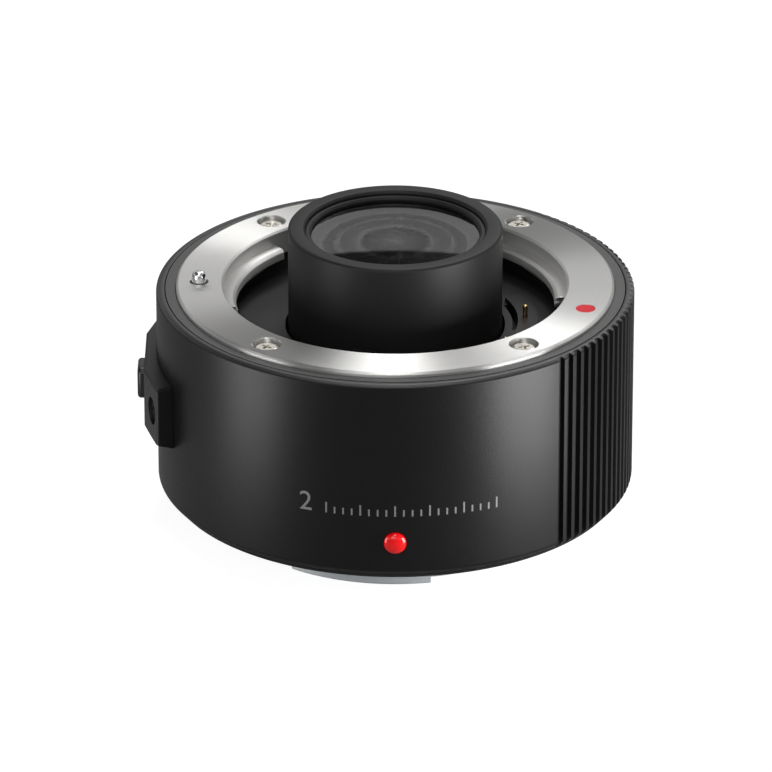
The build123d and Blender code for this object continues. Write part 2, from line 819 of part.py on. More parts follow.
def rear_contact_pads():
    """The flat gold pads on the rear contact block."""
    low = rear_block_z - rear_pad_proud
    return ring_of(post(rear_pad_r, low, low + rear_pad_t), contact_circle_r, contact_angles())


def rear_contact_screws():
    """The two screws of the rear contact block."""
    one = Pos(0, 0, rear_contact_seat()) * Rot(180, 0, 0) * screw(
        rear_contact_head_r, rear_contact_head_h, rear_contact_shank_r, rear_contact_screw_length)
    return ring_of(one, contact_circle_r, rear_contact_screw_angles)


def front_contact_block():
    """The black block below the floor: its pad stands in the floor's slot and guides the pins."""
    body = ring(contact_pad_in_r, contact_pad_out_r, contact_flange_z, pad_top_z, contact_pad_span)
    body += ring(contact_pad_in_r - contact_flange_w, contact_pad_out_r + contact_flange_w,
                 contact_flange_z, floor_z - seat_gap, widened(contact_pad_span, contact_span_margin))
    body += ring(contact_pad_in_r, contact_pad_out_r, contact_block_z, contact_flange_z,
                 contact_body_span)
    body += ring(guard_rib_in_r, guard_rib_in_r + guard_rib_t, contact_flange_z,
                 pad_top_z + guard_rib_h, guard_rib_span)
    ear = post(contact_ear_r, contact_flange_z, floor_z - seat_gap)
    body += ring_of(ear, contact_ear_circle_r, contact_ear_angles)
    bore = post(contact_collar_r + rim_gap, contact_block_z - overrun, collar_top_z + contact_stop_gap)
    bore += post(contact_tip_r + slide_gap, contact_block_z - overrun, pad_top_z + overrun)
    body -= ring_of(bore, contact_circle_r, contact_angles())
    hole = post(contact_shank_r + rim_gap, contact_flange_z - overrun, floor_z)
    return body - ring_of(hole, contact_ear_circle_r, contact_ear_angles)


def front_contact_pins():
    """The sprung gold pins that meet the lens."""
    top = pad_top_z + contact_travel + contact_tip_left
    tip = post(contact_tip_r, collar_top_z - contact_collar_t, top)
    tip = fillet(tip.edges().group_by(Axis.Z)[-1], contact_tip_round)
    pin = tip + post(contact_collar_r, collar_top_z - contact_collar_t, collar_top_z)
    return ring_of(pin, contact_circle_r, contact_angles())


def contact_pin_springs():
    """One small coil below each pin."""
    height = collar_top_z - contact_collar_t - contact_block_z
    one = Pos(0, 0, contact_block_z) * coil(contact_coil_r, contact_wire_r, height, contact_coil_turns)
    return ring_of(one, contact_circle_r, contact_angles())


def front_contact_board():
    """The flexible board that closes the pin bores from below."""
    return ring(contact_pad_in_r, contact_pad_out_r, contact_block_z - contact_board_t,
                contact_block_z, contact_body_span)


def contact_block_screws():
    """The two screws that hold the contact block below the floor."""
    one = Pos(0, 0, contact_flange_z) * Rot(180, 0, 0) * screw(
        contact_head_r, contact_head_h, contact_shank_r, contact_screw_length)
    return ring_of(one, contact_ear_circle_r, contact_ear_angles)


def flex(radius, bottom, top):
    """A flexible cable that stands upright between two boards."""
    return place(radius, flex_angle) * block((0, flex_t), (-flex_w / 2, flex_w / 2), (bottom, top))


def front_flex():
    """The flexible cable from the main board to the front contacts."""
    return flex(front_flex_r, connector_top_z, contact_block_z - contact_board_t)


def rear_flex():
    """The flexible cable from the main board to the rear contacts."""
    return flex(rear_flex_r, shield_z, board_z - connector_h)


def main_board():
    """The ring-shaped circuit board round the lens tube."""
    hole = post(board_shank_r + rim_gap, board_z - overrun, board_top_z + overrun)
    board = ring(board_in_r, board_out_r, board_z, board_top_z)
    return board - ring_of(hole, standoff_circle_r, standoff_angles)


def board_connectors():
    """The two cable sockets, one on each side of the board."""
    socket = Box(connector_w, connector_l, connector_h, align=ALL)
    upper = place(front_flex_r, flex_angle) * Pos(0, 0, board_top_z) * socket
    lower = place(rear_flex_r, flex_angle) * Pos(0, 0, board_z - connector_h) * socket
    return [upper, lower]


def controller_chip():
    """The chip that passes the lens data on."""
    return place(chip_circle_r, chip_angle) * Pos(0, 0, board_top_z) * Box(
        chip_side, chip_side, chip_t, align=ALL)


def board_screws():
    """The three screws of the main board."""
    one = Pos(0, 0, board_top_z) * screw(board_head_r, board_head_h, board_shank_r, board_screw_length)
    return ring_of(one, standoff_circle_r, standoff_angles)


def lens_tube():
    """The black tube that holds the glass, with its foot flange and the shoulder in its bore."""
    shoulder_z = lens_stack()["lens_element_4"][1]
    body = turned([
        (tube_bore_r, rear_plate_top_z),
        (tube_flange_r, rear_plate_top_z),
        (tube_flange_r, tube_flange_top_z),
        (tube_r, tube_flange_top_z),
        (tube_r, tube_top_z),
        (tube_bore_r, tube_top_z),
    ])
    rim = body.edges().group_by(Axis.Z)[-1].sort_by(SortBy.RADIUS)
    body = chamfer(rim[0], tube_mouth_chamfer)
    rim = body.edges().group_by(Axis.Z)[-1].sort_by(SortBy.RADIUS)
    body = fillet(rim[-1], tube_lip_round)
    body += ring(spacer_in_r, tube_bore_r + seat_gap, shoulder_z, shoulder_z + shoulder_t)
    hole = post(tube_shank_r + rim_gap, rear_plate_top_z - overrun, tube_flange_top_z + overrun)
    body -= ring_of(hole, tube_screw_circle_r, tube_screw_angles)
    return body - flex_slot(rear_plate_top_z, tube_flange_top_z)


def tube_screws():
    """The three screws of the lens tube's foot."""
    one = Pos(0, 0, tube_flange_top_z) * screw(tube_head_r, tube_head_h, tube_shank_r, tube_screw_length)
    return ring_of(one, tube_screw_circle_r, tube_screw_angles)


def lens_stack():
    """The low and high edge of all that lies in the tube's bore, by name."""
    low = rear_plate_top_z + rear_recess
    places = {}
    rear_part = (
        ("rear_retainer", rear_retainer_t),
        ("lens_element_7", glass_7_edge),
        ("rear_spacer", rear_spacer_h),
        ("lens_element_6", glass_6_edge),
        ("middle_spacer", middle_spacer_h),
        ("lens_element_5", glass_5_edge),
        ("lens_element_4", glass_4_edge),
    )
    for name, height in rear_part:
        places[name] = (low, low + height)
        low += height
    low += shoulder_t
    places["lens_element_3"] = (low, low + glass_3_edge)
    high = tube_top_z - mouth_depth
    front_part = (
        ("front_retainer", retainer_t),
        ("lens_element_1", glass_1_edge),
        ("lens_element_2", glass_2_edge),
    )
    for name, height in front_part:
        places[name] = (high - height, high)
        high -= height
    places["front_spacer"] = (low + glass_3_edge, high)
    return places


def optics():
    """The seven glass elements with their spacers and retainers, by name."""
    places = lens_stack()
    rises = {
        "lens_element_1": (glass_1_front_rise, glass_1_rear_rise),
        "lens_element_2": (-glass_1_rear_rise, -glass_2_rear_dish),
        "lens_element_3": (-glass_3_front_dish, -glass_3_rear_dish),
        "lens_element_4": (glass_4_front_rise, glass_4_rear_rise),
        "lens_element_5": (-glass_4_rear_rise, -glass_5_rear_dish),
        "lens_element_6": (glass_6_front_rise, glass_6_rear_rise),
        "lens_element_7": (-glass_7_front_dish, -glass_7_rear_dish),
    }
    pieces = {name: glass(places[name][1], places[name][0], *rise) for name, rise in rises.items()}
    for name in ("front_spacer", "middle_spacer", "rear_spacer"):
        pieces[name] = ring(spacer_in_r, glass_r, *places[name])
    for name in ("front_retainer", "rear_retainer"):
        pieces[name] = ring(glass_r - retainer_w, glass_r, *places[name])
    return pieces


def release_housing():
    """The block on the barrel's side that holds the release button."""
    corners = housing_corners()
    first = (corners[0][0] + housing_side_run, corners[0][1] + housing_side_rise)
    last = (corners[3][0] + housing_side_run, corners[3][1] - housing_side_rise)
    outline = make_face(Polyline(first, *corners, last, close=True))
    body = Pos(0, 0, housing_z) * extrude(outline, housing_h)
    outer = [edge for edge in body.edges().filter_by(Axis.Z) if edge.center().X < -body_r + housing_out]
    body = fillet([edge for edge in outer if abs(edge.center().X) > abs(first[0]) + seat_gap],
                  housing_corner_r)
    body = chamfer(body.edges().group_by(Axis.Z)[-1], housing_edge_chamfer)
    body -= post(body_r + seat_gap, housing_z - overrun, housing_top_z + overrun)
    reach = hypot(*corners[0])
    body -= turned([
        (body_r, housing_z - overrun),
        (reach, housing_z - overrun),
        (reach, housing_z + housing_draft),
        (body_r, housing_z),
    ])
    opening = RectangleRounded(button_h + 2 * button_gap, button_w + 2 * button_gap, button_corner_r)
    body -= Pos(housing_x - overrun, 0, button_z) * Rot(0, 90, 0) * extrude(
        opening, housing_wall_t + 2 * overrun)
    hole = Pos(0, 0, -housing_hole_depth) * post(housing_hole_r, 0, housing_hole_depth + overrun)
    hole += Cylinder(housing_shank_r + rim_gap, body_r / 2)
    return body - flange_window() - [at * hole for at in housing_screw_places()]


def housing_screws():
    """The two screws in the sloped faces of the block."""
    one = Pos(0, 0, -housing_hole_depth) * screw(
        housing_head_r, housing_head_h, housing_shank_r, housing_screw_length)
    return [at * one for at in housing_screw_places()]


def release_button():
    """The button: a rounded cap with a flange behind the block's wall."""
    face = RectangleRounded(button_h, button_w, button_corner_r)
    cap_x = housing_x - button_travel - button_left_proud
    cap = Pos(cap_x, 0, button_z) * Rot(0, 90, 0) * extrude(face, button_flange_x - cap_x)
    cap = fillet(cap.edges().group_by(Axis.X)[0], button_edge_r)
    half_w, half_h = button_flange_w / 2, button_flange_h / 2
    cap += block((button_flange_x, button_back_x), (-half_w, half_w), (button_z - half_h, button_z + half_h))
    seat = Cylinder(plunger_r + thread_gap, plunger_seat + overrun, align=ALL)
    return cap - Pos(button_back_x - plunger_seat, 0, plunger_z) * Rot(0, 90, 0) * seat


def button_plunger():
    """The rod that passes the press on to the lever, with a ball tip."""
    start = button_back_x - plunger_seat
    length = lever_tail_x - plunger_play - start - plunger_r
    rod = Cylinder(plunger_r, length, align=ALL) + Pos(0, 0, length) * Sphere(plunger_r)
    return Pos(start, 0, plunger_z) * Rot(0, 90, 0) * rod


def button_spring():
    """The coil round the plunger, between the bracket and the button."""
    one = coil(button_coil_r, button_wire_r, bracket_x - button_back_x, button_coil_turns)
    return Pos(bracket_x, 0, plunger_z) * Rot(0, -90, 0) * one


def lock_pin():
    """The pin that locks the lens: domed stem, spring flange, waist for the fork and foot."""
    stem = post(lock_pin_r, waist_top_z, lock_pin_top_z)
    stem = fillet(stem.edges().group_by(Axis.Z)[-1], lock_pin_dome)
    stem += post(lock_pin_flange_r, lock_flange_z, lock_flange_top_z)
    stem += post(pin_waist_r, waist_z, waist_top_z)
    stem += post(lock_pin_r, waist_z - pin_foot_h, waist_z)
    return Pos(lock_pin_x, 0, 0) * stem


def lock_pin_spring():
    """The coil that lifts the lock pin."""
    one = coil(lock_coil_r, lock_wire_r, lock_flange_z - bracket_top_z, lock_coil_turns)
    return Pos(lock_pin_x, 0, bracket_top_z) * one


def bracket_screw_places():
    """Locations of the bracket's screws, with +Z towards the optical axis."""
    x = bracket_x + bracket_t
    return [Plane((x, y, button_z), z_dir=(1, 0, 0)).location for y in (-bracket_screw_y, bracket_screw_y)]


def release_bracket():
    """The bent sheet that guides plunger and pin and carries the lever's pivot."""
    ear_half = ear_in_half + bracket_t
    ear_x = (2 * lever_pivot_x - bracket_end_x, bracket_end_x)
    body = block((bracket_x, bracket_x + bracket_t), (-bracket_half, bracket_half),
                 (bracket_top_z - bracket_plate_h, bracket_top_z))
    body += block((bracket_x, bracket_end_x), (-ear_half, ear_half), (bracket_under_z, bracket_top_z))
    for side in ((-ear_half, -ear_in_half), (ear_in_half, ear_half)):
        body += block(ear_x, side, (bracket_under_z - ear_h, bracket_under_z))
    body -= Pos(bracket_x, 0, plunger_z) * Rot(0, 90, 0) * Cylinder(plunger_r + slide_gap, bracket_half)
    body -= Pos(lock_pin_x, 0, 0) * post(lock_pin_r + slide_gap, bracket_under_z - overrun,
                                         bracket_top_z + overrun)
    body -= pivot_bar(pivot_pin_r + thread_gap, ear_half + overrun)
    hole = Cylinder(bracket_shank_r + rim_gap, bracket_half)
    return body - [at * hole for at in bracket_screw_places()]


def pivot_bar(radius, half):
    """A bar along the lever's axis."""
    return Pos(lever_pivot_x, 0, pivot_z) * Rot(90, 0, 0) * Cylinder(radius, 2 * half)


def bracket_screws():
    """The two screws of the bracket."""
    one = screw(bracket_head_r, bracket_head_h, bracket_shank_r, bracket_screw_length)
    return [at * one for at in bracket_screw_places()]


def release_lever():
    """The bell crank between plunger and pin: forked arm, hub and tail."""
    arm_z = (fork_z - lever_arm_t / 2, fork_z + lever_arm_t / 2)
    arm_x = bracket_x + bracket_t + lever_end_gap
    slot_half = pin_waist_r + fork_gap
    tail_half = lever_tail_t / 2
    body = block((arm_x, lever_pivot_x), (-lever_half, lever_half), arm_z)
    body += pivot_bar(lever_hub_r, lever_hub_half)
    body += block((lever_pivot_x - tail_half, lever_pivot_x + tail_half),
                  (-lever_tail_half, lever_tail_half), (plunger_z - lever_tail_extra, pivot_z))
    body -= block((arm_x - overrun, lock_pin_x + lock_pin_r + fork_gap), (-slot_half, slot_half), arm_z)
    return body - pivot_bar(pivot_pin_r + slide_gap, lever_hub_half + overrun)


def lever_pivot_pin():
    """The pin that the lever turns on."""
    return pivot_bar(pivot_pin_r, ear_in_half + bracket_t)


def side_index_bead():
    """The domed index bead in the barrel's side."""
    foot = barrel_bore_r + rim_gap
    shank_h = body_r + bead_proud - foot
    dome = TangentArc((0, 0, shank_h + bead_dome_h), (bead_r, 0, shank_h), tangent=(1, 0, 0))
    side = Polyline((bead_r, 0, shank_h), (bead_r, 0, 0), (0, 0, 0))
    axis = Line(side @ 1, dome @ 0)
    return Pos(0, -foot, bead_z) * Rot(90, 0, 0) * revolve(make_face([dome, side, axis]), Axis.Z)


pieces = {
    "outer_barrel": outer_barrel(),
    "front_frame": front_frame(),
    "rear_frame": rear_frame(),
    "frame_screws": frame_screws(),
    "front_mount_ring": front_mount_ring(),
    "front_mount_screws": front_mount_screws(),
    "front_index_dot": front_index_dot(),
    "bayonet_spring": bayonet_spring(),
    "inner_baffle": inner_baffle(),
    "baffle_screws": baffle_screws(),
    "front_contact_block": front_contact_block(),
    "front_contact_pins": front_contact_pins(),
    "contact_pin_springs": contact_pin_springs(),
    "front_contact_board": front_contact_board(),
    "contact_block_screws": contact_block_screws(),
    "rear_mount": rear_mount(),
    "rear_mount_screws": rear_mount_screws(),
    "rear_baffle": rear_baffle(),
    "rear_contact_block": rear_contact_block(),
    "rear_contact_pads": rear_contact_pads(),
    "rear_contact_screws": rear_contact_screws(),
    "main_board": main_board(),
    "board_connectors": board_connectors(),
    "controller_chip": controller_chip(),
    "board_screws": board_screws(),
    "front_flex": front_flex(),
    "rear_flex": rear_flex(),
    "lens_tube": lens_tube(),
    "tube_screws": tube_screws(),
    "release_housing": release_housing(),
    "housing_screws": housing_screws(),
    "release_button": release_button(),
    "button_plunger": button_plunger(),
    "button_spring": button_spring(),
    "lock_pin": lock_pin(),
    "lock_pin_spring": lock_pin_spring(),
    "release_bracket": release_bracket(),
    "bracket_screws": bracket_screws(),
    "release_lever": release_lever(),
    "lever_pivot_pin": lever_pivot_pin(),
    "side_index_bead": side_index_bead(),
}
pieces.update(optics())

os.makedirs("parts", exist_ok=True)
for name, shape in pieces.items():
    solid = Compound(shape) if isinstance(shape, list) else shape
    export_step(solid, f"parts/{name}.step")
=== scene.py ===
import logging
import math
from dataclasses import dataclass
from enum import Enum
from typing import Any, Callable, Sequence

import bmesh
import bpy
from mathutils import Matrix, Vector

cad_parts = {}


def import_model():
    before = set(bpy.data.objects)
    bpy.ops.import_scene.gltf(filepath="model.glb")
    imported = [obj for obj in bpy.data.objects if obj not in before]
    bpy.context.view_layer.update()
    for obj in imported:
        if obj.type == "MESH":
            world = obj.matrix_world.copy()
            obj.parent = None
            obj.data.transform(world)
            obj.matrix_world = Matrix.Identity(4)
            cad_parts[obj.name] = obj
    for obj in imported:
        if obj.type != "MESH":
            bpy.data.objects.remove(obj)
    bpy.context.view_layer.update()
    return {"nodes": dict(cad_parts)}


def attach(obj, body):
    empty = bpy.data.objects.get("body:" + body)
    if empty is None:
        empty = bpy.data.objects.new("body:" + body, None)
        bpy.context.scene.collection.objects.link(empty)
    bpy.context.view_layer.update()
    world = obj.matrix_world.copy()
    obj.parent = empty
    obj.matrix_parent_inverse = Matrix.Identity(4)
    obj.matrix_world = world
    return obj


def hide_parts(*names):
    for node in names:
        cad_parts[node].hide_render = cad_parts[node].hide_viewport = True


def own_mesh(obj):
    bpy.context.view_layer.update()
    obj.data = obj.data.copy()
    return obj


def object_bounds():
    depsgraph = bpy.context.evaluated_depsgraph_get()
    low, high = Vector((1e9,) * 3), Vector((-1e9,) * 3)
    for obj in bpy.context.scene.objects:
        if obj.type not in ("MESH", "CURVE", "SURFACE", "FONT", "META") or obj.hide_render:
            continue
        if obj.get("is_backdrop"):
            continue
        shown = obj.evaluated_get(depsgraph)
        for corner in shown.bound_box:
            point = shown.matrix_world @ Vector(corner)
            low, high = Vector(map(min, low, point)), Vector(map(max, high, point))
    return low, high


# A camera teleconverter that stands on its rear mount, dressed for a studio picture. Pieces are
# drawn in millimetres in the frame of the CAD model and turned into metres when they are done.

log = logging.getLogger("teleconverter")

MM = 0.001
FLAT = (1.0, 1.0, 0.0)
FULL_TURN = 360.0
# How far joined bodies reach into each other.
OVERLAP = 0.05
Place = tuple[float, float, float]
Colour = tuple[float, float, float]
# A corner of an outline: radius and height, or X and Y, and the reach of its rounding, if any.
Corner = tuple[float, ...]


class Rays(Enum):
    """The kinds of ray that see the studio as plain white."""

    CAMERA = "Is Camera Ray"
    GLOSSY = "Is Glossy Ray"
    TRANSMISSION = "Is Transmission Ray"


class Body(Enum):
    """The bodies of the frame that new pieces ride on."""

    FIXED = "root"
    BUTTON = "button"
    LOCK_PIN = "lock_pin"


# ---- Shader maths ----


class Wire:
    """The output of a shader node, for use in Python expressions."""

    def __init__(self, graph: "Graph", socket: bpy.types.NodeSocket) -> None:
        """Keeps an output socket and its graph."""
        self.graph = graph
        self.socket = socket

    def _joined(self, operation: str, first: Any, second: Any) -> "Wire":
        """Adds a Math or Vector Math node.

        Args:
            operation: The name of the operation.
            first: A wire or a number.
            second: A wire or a number.

        Returns:
            The result.
        """
        wires = [value for value in (first, second) if isinstance(value, Wire)]
        vector = any(wire.socket.type == "VECTOR" for wire in wires)
        kind = "ShaderNodeVectorMath" if vector else "ShaderNodeMath"
        return self.graph.node(kind, {"operation": operation}, {0: first, 1: second})

    def __add__(self, other: Any) -> "Wire":
        """Self plus other."""
        return self._joined("ADD", self, other)

    __radd__ = __add__

    def __sub__(self, other: Any) -> "Wire":
        """Self minus other."""
        return self._joined("SUBTRACT", self, other)

    def __rsub__(self, other: Any) -> "Wire":
        """Other minus self."""
        return self._joined("SUBTRACT", other, self)

    def __mul__(self, other: Any) -> "Wire":
        """Self times other."""
        return self._joined("MULTIPLY", self, other)

    __rmul__ = __mul__

    def at_least(self, other: Any) -> "Wire":
        """The higher of self and other."""
        return self._joined("MAXIMUM", self, other)

    def above(self, limit: float) -> "Wire":
        """One where self is above the limit, or else zero."""
        return self._joined("GREATER_THAN", self, limit)

    def graded(self, low: float, high: float, first: float, last: float,
               kind: str = "LINEAR") -> "Wire":
        """A level that goes from the first to the last while self goes from low to high."""
        return self.graph.node("ShaderNodeMapRange", {"interpolation_type": kind}, {
            "Value": self, "From Min": low, "From Max": high, "To Min": first, "To Max": last})


class Graph:
    """The node tree of one material or world."""

    def __init__(self, tree: bpy.types.NodeTree) -> None:
        """Empties a tree to fill it anew."""
        self.tree = tree
        self.tree.nodes.clear()

    def node(self, kind: str, settings: dict[str, Any] | None = None,
             inputs: dict[Any, Any] | None = None, output: Any = 0) -> Wire:
        """Adds a node.

        Args:
            kind: The node's type.
            settings: Its properties, set before its sockets.
            inputs: Values or wires by the name or number of the socket.
            output: The name or number of the wanted output.

        Returns:
            The wanted output.
        """
        made = self.tree.nodes.new(kind)
        for name, value in (settings or {}).items():
            setattr(made, name, value)
        for name, value in (inputs or {}).items():
            self._feed(made.inputs[name], value)
        return Wire(self, made.outputs[output] if len(made.outputs) else None)

    def _feed(self, socket: bpy.types.NodeSocket, value: Any) -> None:
        """Links a wire to a socket, or sets the socket's value.

        Args:
            socket: The input socket.
            value: A wire, a number, a vector or a colour.
        """
        if isinstance(value, Wire):
            self.tree.links.new(value.socket, socket)
        elif socket.type == "RGBA":
            socket.default_value = (*value, 1.0)
        else:
            socket.default_value = value

    def place(self, name: str = "Object") -> Wire:
        """A texture coordinate of the piece, object coordinates unless another is named."""
        return self.node("ShaderNodeTexCoord", output=name)

    def ray(self, kind: Rays) -> Wire:
        """One for rays of a kind, or else zero."""
        return self.node("ShaderNodeLightPath", output=kind.value)

    def vector(self, operation: str, first: Any, second: Any = (0.0, 0.0, 0.0)) -> Wire:
        """The result of a vector operation, a number for a length."""
        return self.node("ShaderNodeVectorMath", {"operation": operation}, {0: first, 1: second},
                         "Value" if operation == "LENGTH" else "Vector")

    def principled(self, **inputs: Any) -> Wire:
        """A Principled shader, its inputs named in lower case with underscores for spaces."""
        names = {name.replace("_", " ").title().replace("Ior", "IOR"): value
                 for name, value in inputs.items()}
        return self.node("ShaderNodeBsdfPrincipled", inputs=names)

    def noise(self, size: float, detail: float = 2.0) -> Wire:
        """A noise from zero to one, with grains of a size in millimetres."""
        return self.node("ShaderNodeTexNoise", inputs={
            "Vector": self.place(), "Scale": 1.0 / (size * MM), "Detail": detail}, output="Fac")

    def mixed(self, factor: Any, first: Any, second: Any) -> Wire:
        """A colour between the first, at a factor of zero, and the second, at one."""
        return self.node("ShaderNodeMix", {"data_type": "RGBA"},
                         {0: factor, 6: first, 7: second}, 2)

    def bump(self, height: Wire, depth: float) -> Wire:
        """The normal of a height pattern from zero to one, with the depth in millimetres."""
        return self.node("ShaderNodeBump", inputs={
            "Height": height, "Distance": depth * MM, "Strength": 1.0})

    def surface(self, shader: Wire) -> None:
        """Ends the graph in a shader."""
        self.node("ShaderNodeOutputMaterial", inputs={"Surface": shader})


def scaled(colour: Colour, share: float) -> Colour:
    """A colour at a share of its brightness."""
    return tuple(part * share for part in colour)


class Finish:
    """The base of all finishes: it makes its material once and hands out the same one."""

    name: str

    def shade(self, graph: Graph) -> Wire:
        """Builds the shader."""
        raise NotImplementedError

    def material(self) -> bpy.types.Material:
        """The material of this finish, made at the first call."""
        label = f"finish_{self.name}"
        if label in bpy.data.materials:
            return bpy.data.materials[label]
        made = bpy.data.materials.new(label)
        made.use_nodes = True
        graph = Graph(made.node_tree)
        graph.surface(self.shade(graph))
        return made


@dataclass(frozen=True)
class SatinCoat(Finish):
    """A dark satin paint, anodised skin or moulded plastic, with a fine grain and faint clouds."""

    name: str
    colour: Colour
    roughness: float = 0.45
    specular: float = 0.25
    grain: float = 0.12
    grain_depth: float = 0.004
    cloud: float = 9.0
    cloud_share: float = 0.18

    def shade(self, graph: Graph) -> Wire:
        """Builds the shader."""
        cloud = graph.noise(self.cloud, 3.0)
        grain = graph.noise(self.grain, 2.0)
        dark, light = (scaled(self.colour, 1 + side * self.cloud_share) for side in (-1, 1))
        roughness = self.roughness + (grain - 0.5) * 0.10 + (cloud - 0.5) * 0.05
        return graph.principled(
            base_color=graph.mixed(cloud * 0.6 + grain * 0.4, dark, light), roughness=roughness,
            specular_ior_level=self.specular, normal=graph.bump(grain, self.grain_depth))


@dataclass(frozen=True)
class TurnedSteel(Finish):
    """Steel turned on a lathe, whose fine circular marks draw the light out."""

    name: str
    colour: Colour
    roughness: float = 0.40
    tilt: float = 0.3
    metal: float = 1.0
    drawn_out: float = 0.95
    mark: float = 0.03
    band: float = 0.5
    shaded: float = 0.86

    def shade(self, graph: Graph) -> Wire:
        """Builds the shader."""
        flat = graph.place() * FLAT
        outward = graph.vector("NORMALIZE", flat)
        radius = graph.vector("LENGTH", flat)
        marks, bands = (
            graph.node("ShaderNodeTexNoise", {"noise_dimensions": "1D"},
                       {"W": radius * (1 / (size * MM)), "Scale": 1.0, "Detail": detail}, "Fac")
            for size, detail in ((self.mark, 3.0), (self.band, 2.0)))
        normal = graph.node("ShaderNodeNewGeometry", output="Normal")
        along = graph.vector("CROSS_PRODUCT", (0.0, 0.0, 1.0), outward)
        across = graph.vector("CROSS_PRODUCT", along, normal)
        leaned = normal + across * ((marks - 0.5) * self.tilt)
        dark = scaled(self.colour, self.shaded)
        return graph.principled(
            base_color=graph.mixed(marks * 0.5 + bands * 0.5, dark, self.colour),
            metallic=self.metal, anisotropic=self.drawn_out, anisotropic_rotation=0.25,
            roughness=self.roughness + (bands - 0.5) * 0.08,
            normal=graph.vector("NORMALIZE", leaned))


@dataclass(frozen=True)
class PlainMetal(Finish):
    """A plated or polished metal with faint wear."""

    name: str
    colour: Colour
    roughness: float = 0.2
    wear: float = 0.8
    grain_depth: float = 0.0015
    shaded: float = 0.82

    def shade(self, graph: Graph) -> Wire:
        """Builds the shader."""
        wear = graph.noise(self.wear, 4.0)
        fine = graph.noise(self.wear / 12, 2.0)
        dark = scaled(self.colour, self.shaded)
        return graph.principled(
            base_color=graph.mixed(wear, dark, self.colour), metallic=1.0,
            roughness=self.roughness + (wear - 0.5) * 0.12,
            normal=graph.bump(fine, self.grain_depth))


@dataclass(frozen=True)
class Enamel(Finish):
    """A bright glossy paint or a tinted bead."""

    name: str
    colour: Colour
    roughness: float = 0.3
    coat: float = 1.0
    specular: float = 0.5
    shaded: float = 0.8

    def shade(self, graph: Graph) -> Wire:
        """Builds the shader."""
        cloud = graph.noise(1.2, 3.0)
        dark = scaled(self.colour, self.shaded)
        return graph.principled(
            base_color=graph.mixed(cloud, dark, self.colour),
            roughness=self.roughness + (cloud - 0.5) * 0.1, specular_ior_level=self.specular,
            coat_weight=self.coat, coat_roughness=0.04,
            normal=graph.bump(graph.noise(0.3, 2.0), 0.002))


@dataclass(frozen=True)
class CoatedGlass(Finish):
    """Clear glass whose coating leaves a share of its mirror image. Where (radius, share) rings are
    given, that share follows them round a point off the axis: painted rings of reflection.
    """

    name: str
    tint: Colour
    mirror: float
    ior: float = 1.5
    painted_rings: tuple = ()
    painted_rings_y: float = -3.0
    painted_rings_reach: float = 14.0

    def _share(self, graph: Graph) -> Any:
        """The share of the mirror image, which follows the painted rings of reflection where there
        are any.
        """
        if not self.painted_rings:
            return self.mirror
        # Painted reflection: the rings lighten and darken the glass's mirror image by radius from a
        # point off the axis.
        flat = (graph.place() - (0.0, self.painted_rings_y * MM, 0.0)) * FLAT
        reach = graph.vector("LENGTH", flat) * (1 / (self.painted_rings_reach * MM))
        shares = graph.node("ShaderNodeValToRGB", inputs={0: reach})
        stops = shares.socket.node.color_ramp.elements
        while len(stops) < len(self.painted_rings):
            stops.new(1.0)
        for stop, (ring, share) in zip(stops, self.painted_rings):
            stop.position = ring / self.painted_rings_reach
            stop.color = (share, share, share, 1.0)
        return shares * self.mirror

    def shade(self, graph: Graph) -> Wire:
        """Builds the shader."""
        cloud = graph.noise(14.0, 1.0)
        pale = tuple(0.5 + part / 2 for part in self.tint)
        tint = graph.mixed(cloud, self.tint, pale)
        glass = graph.principled(
            base_color=tint, roughness=0.0, ior=self.ior, transmission_weight=1.0)
        coated = graph.node("ShaderNodeBsdfRefraction", inputs={
            "Color": tint, "Roughness": 0.0, "IOR": self.ior})
        return graph.node("ShaderNodeMixShader",
                          inputs={0: self._share(graph), 1: coated, 2: glass})


@dataclass(frozen=True)
class CircuitBoard(Finish):
    """Solder mask over a grid of copper tracks."""

    name: str
    mask: Colour = (0.005, 0.09, 0.04)
    track: Colour = (0.02, 0.19, 0.08)

    def shade(self, graph: Graph) -> Wire:
        """Builds the shader."""
        tracks = graph.node("ShaderNodeTexBrick", {"offset": 0.5}, {
            "Vector": graph.place(), "Scale": 420.0, "Mortar Size": 0.06,
            "Brick Width": 0.9, "Row Height": 0.28}, "Fac")
        return graph.principled(
            base_color=graph.mixed(tracks, self.mask, self.track),
            roughness=0.3 + graph.noise(1.5) * 0.1, normal=graph.bump(tracks, 0.02))


@dataclass(frozen=True)
class FlexFilm(Finish):
    """Amber film with fine copper lines along the cable."""

    name: str
    film: Colour = (0.55, 0.22, 0.04)
    line: Colour = (0.72, 0.38, 0.14)
    aim: float = 53.0

    def shade(self, graph: Graph) -> Wire:
        """Builds the shader."""
        along = graph.node("ShaderNodeMapping", inputs={
            "Vector": graph.place(), "Rotation": (0.0, 0.0, math.radians(self.aim))})
        lines = graph.node("ShaderNodeTexWave", {"bands_direction": "Y"}, {
            "Vector": along, "Scale": 900.0, "Distortion": 0.0}, "Fac")
        return graph.principled(
            base_color=graph.mixed(lines.above(0.5), self.film, self.line),
            roughness=0.35 + graph.noise(1.0) * 0.1)


# ---- Meshes ----


def around(radius: float, angle: float, height: float = 0.0, turn: float = 0.0) -> Matrix:
    """A place on a circle round the optical axis, with a further turn of the piece itself."""
    return turned(angle) @ Matrix.Translation((radius, 0, height)) @ turned(turn)


def turned(angle: float, axis: str = "Z", place: Place = (0.0, 0.0, 0.0)) -> Matrix:
    """A turn about an axis, in degrees, and then a move to a place."""
    return Matrix.Translation(place) @ Matrix.Rotation(math.radians(angle), 4, axis)


def verts_of(geom: Sequence) -> list[bmesh.types.BMVert]:
    """The vertices in some geometry."""
    return [part for part in geom if isinstance(part, bmesh.types.BMVert)]


def linked(name: str, data: Any) -> bpy.types.Object:
    """A new object in the scene."""
    made = bpy.data.objects.new(name, data)
    bpy.context.scene.collection.objects.link(made)
    return made


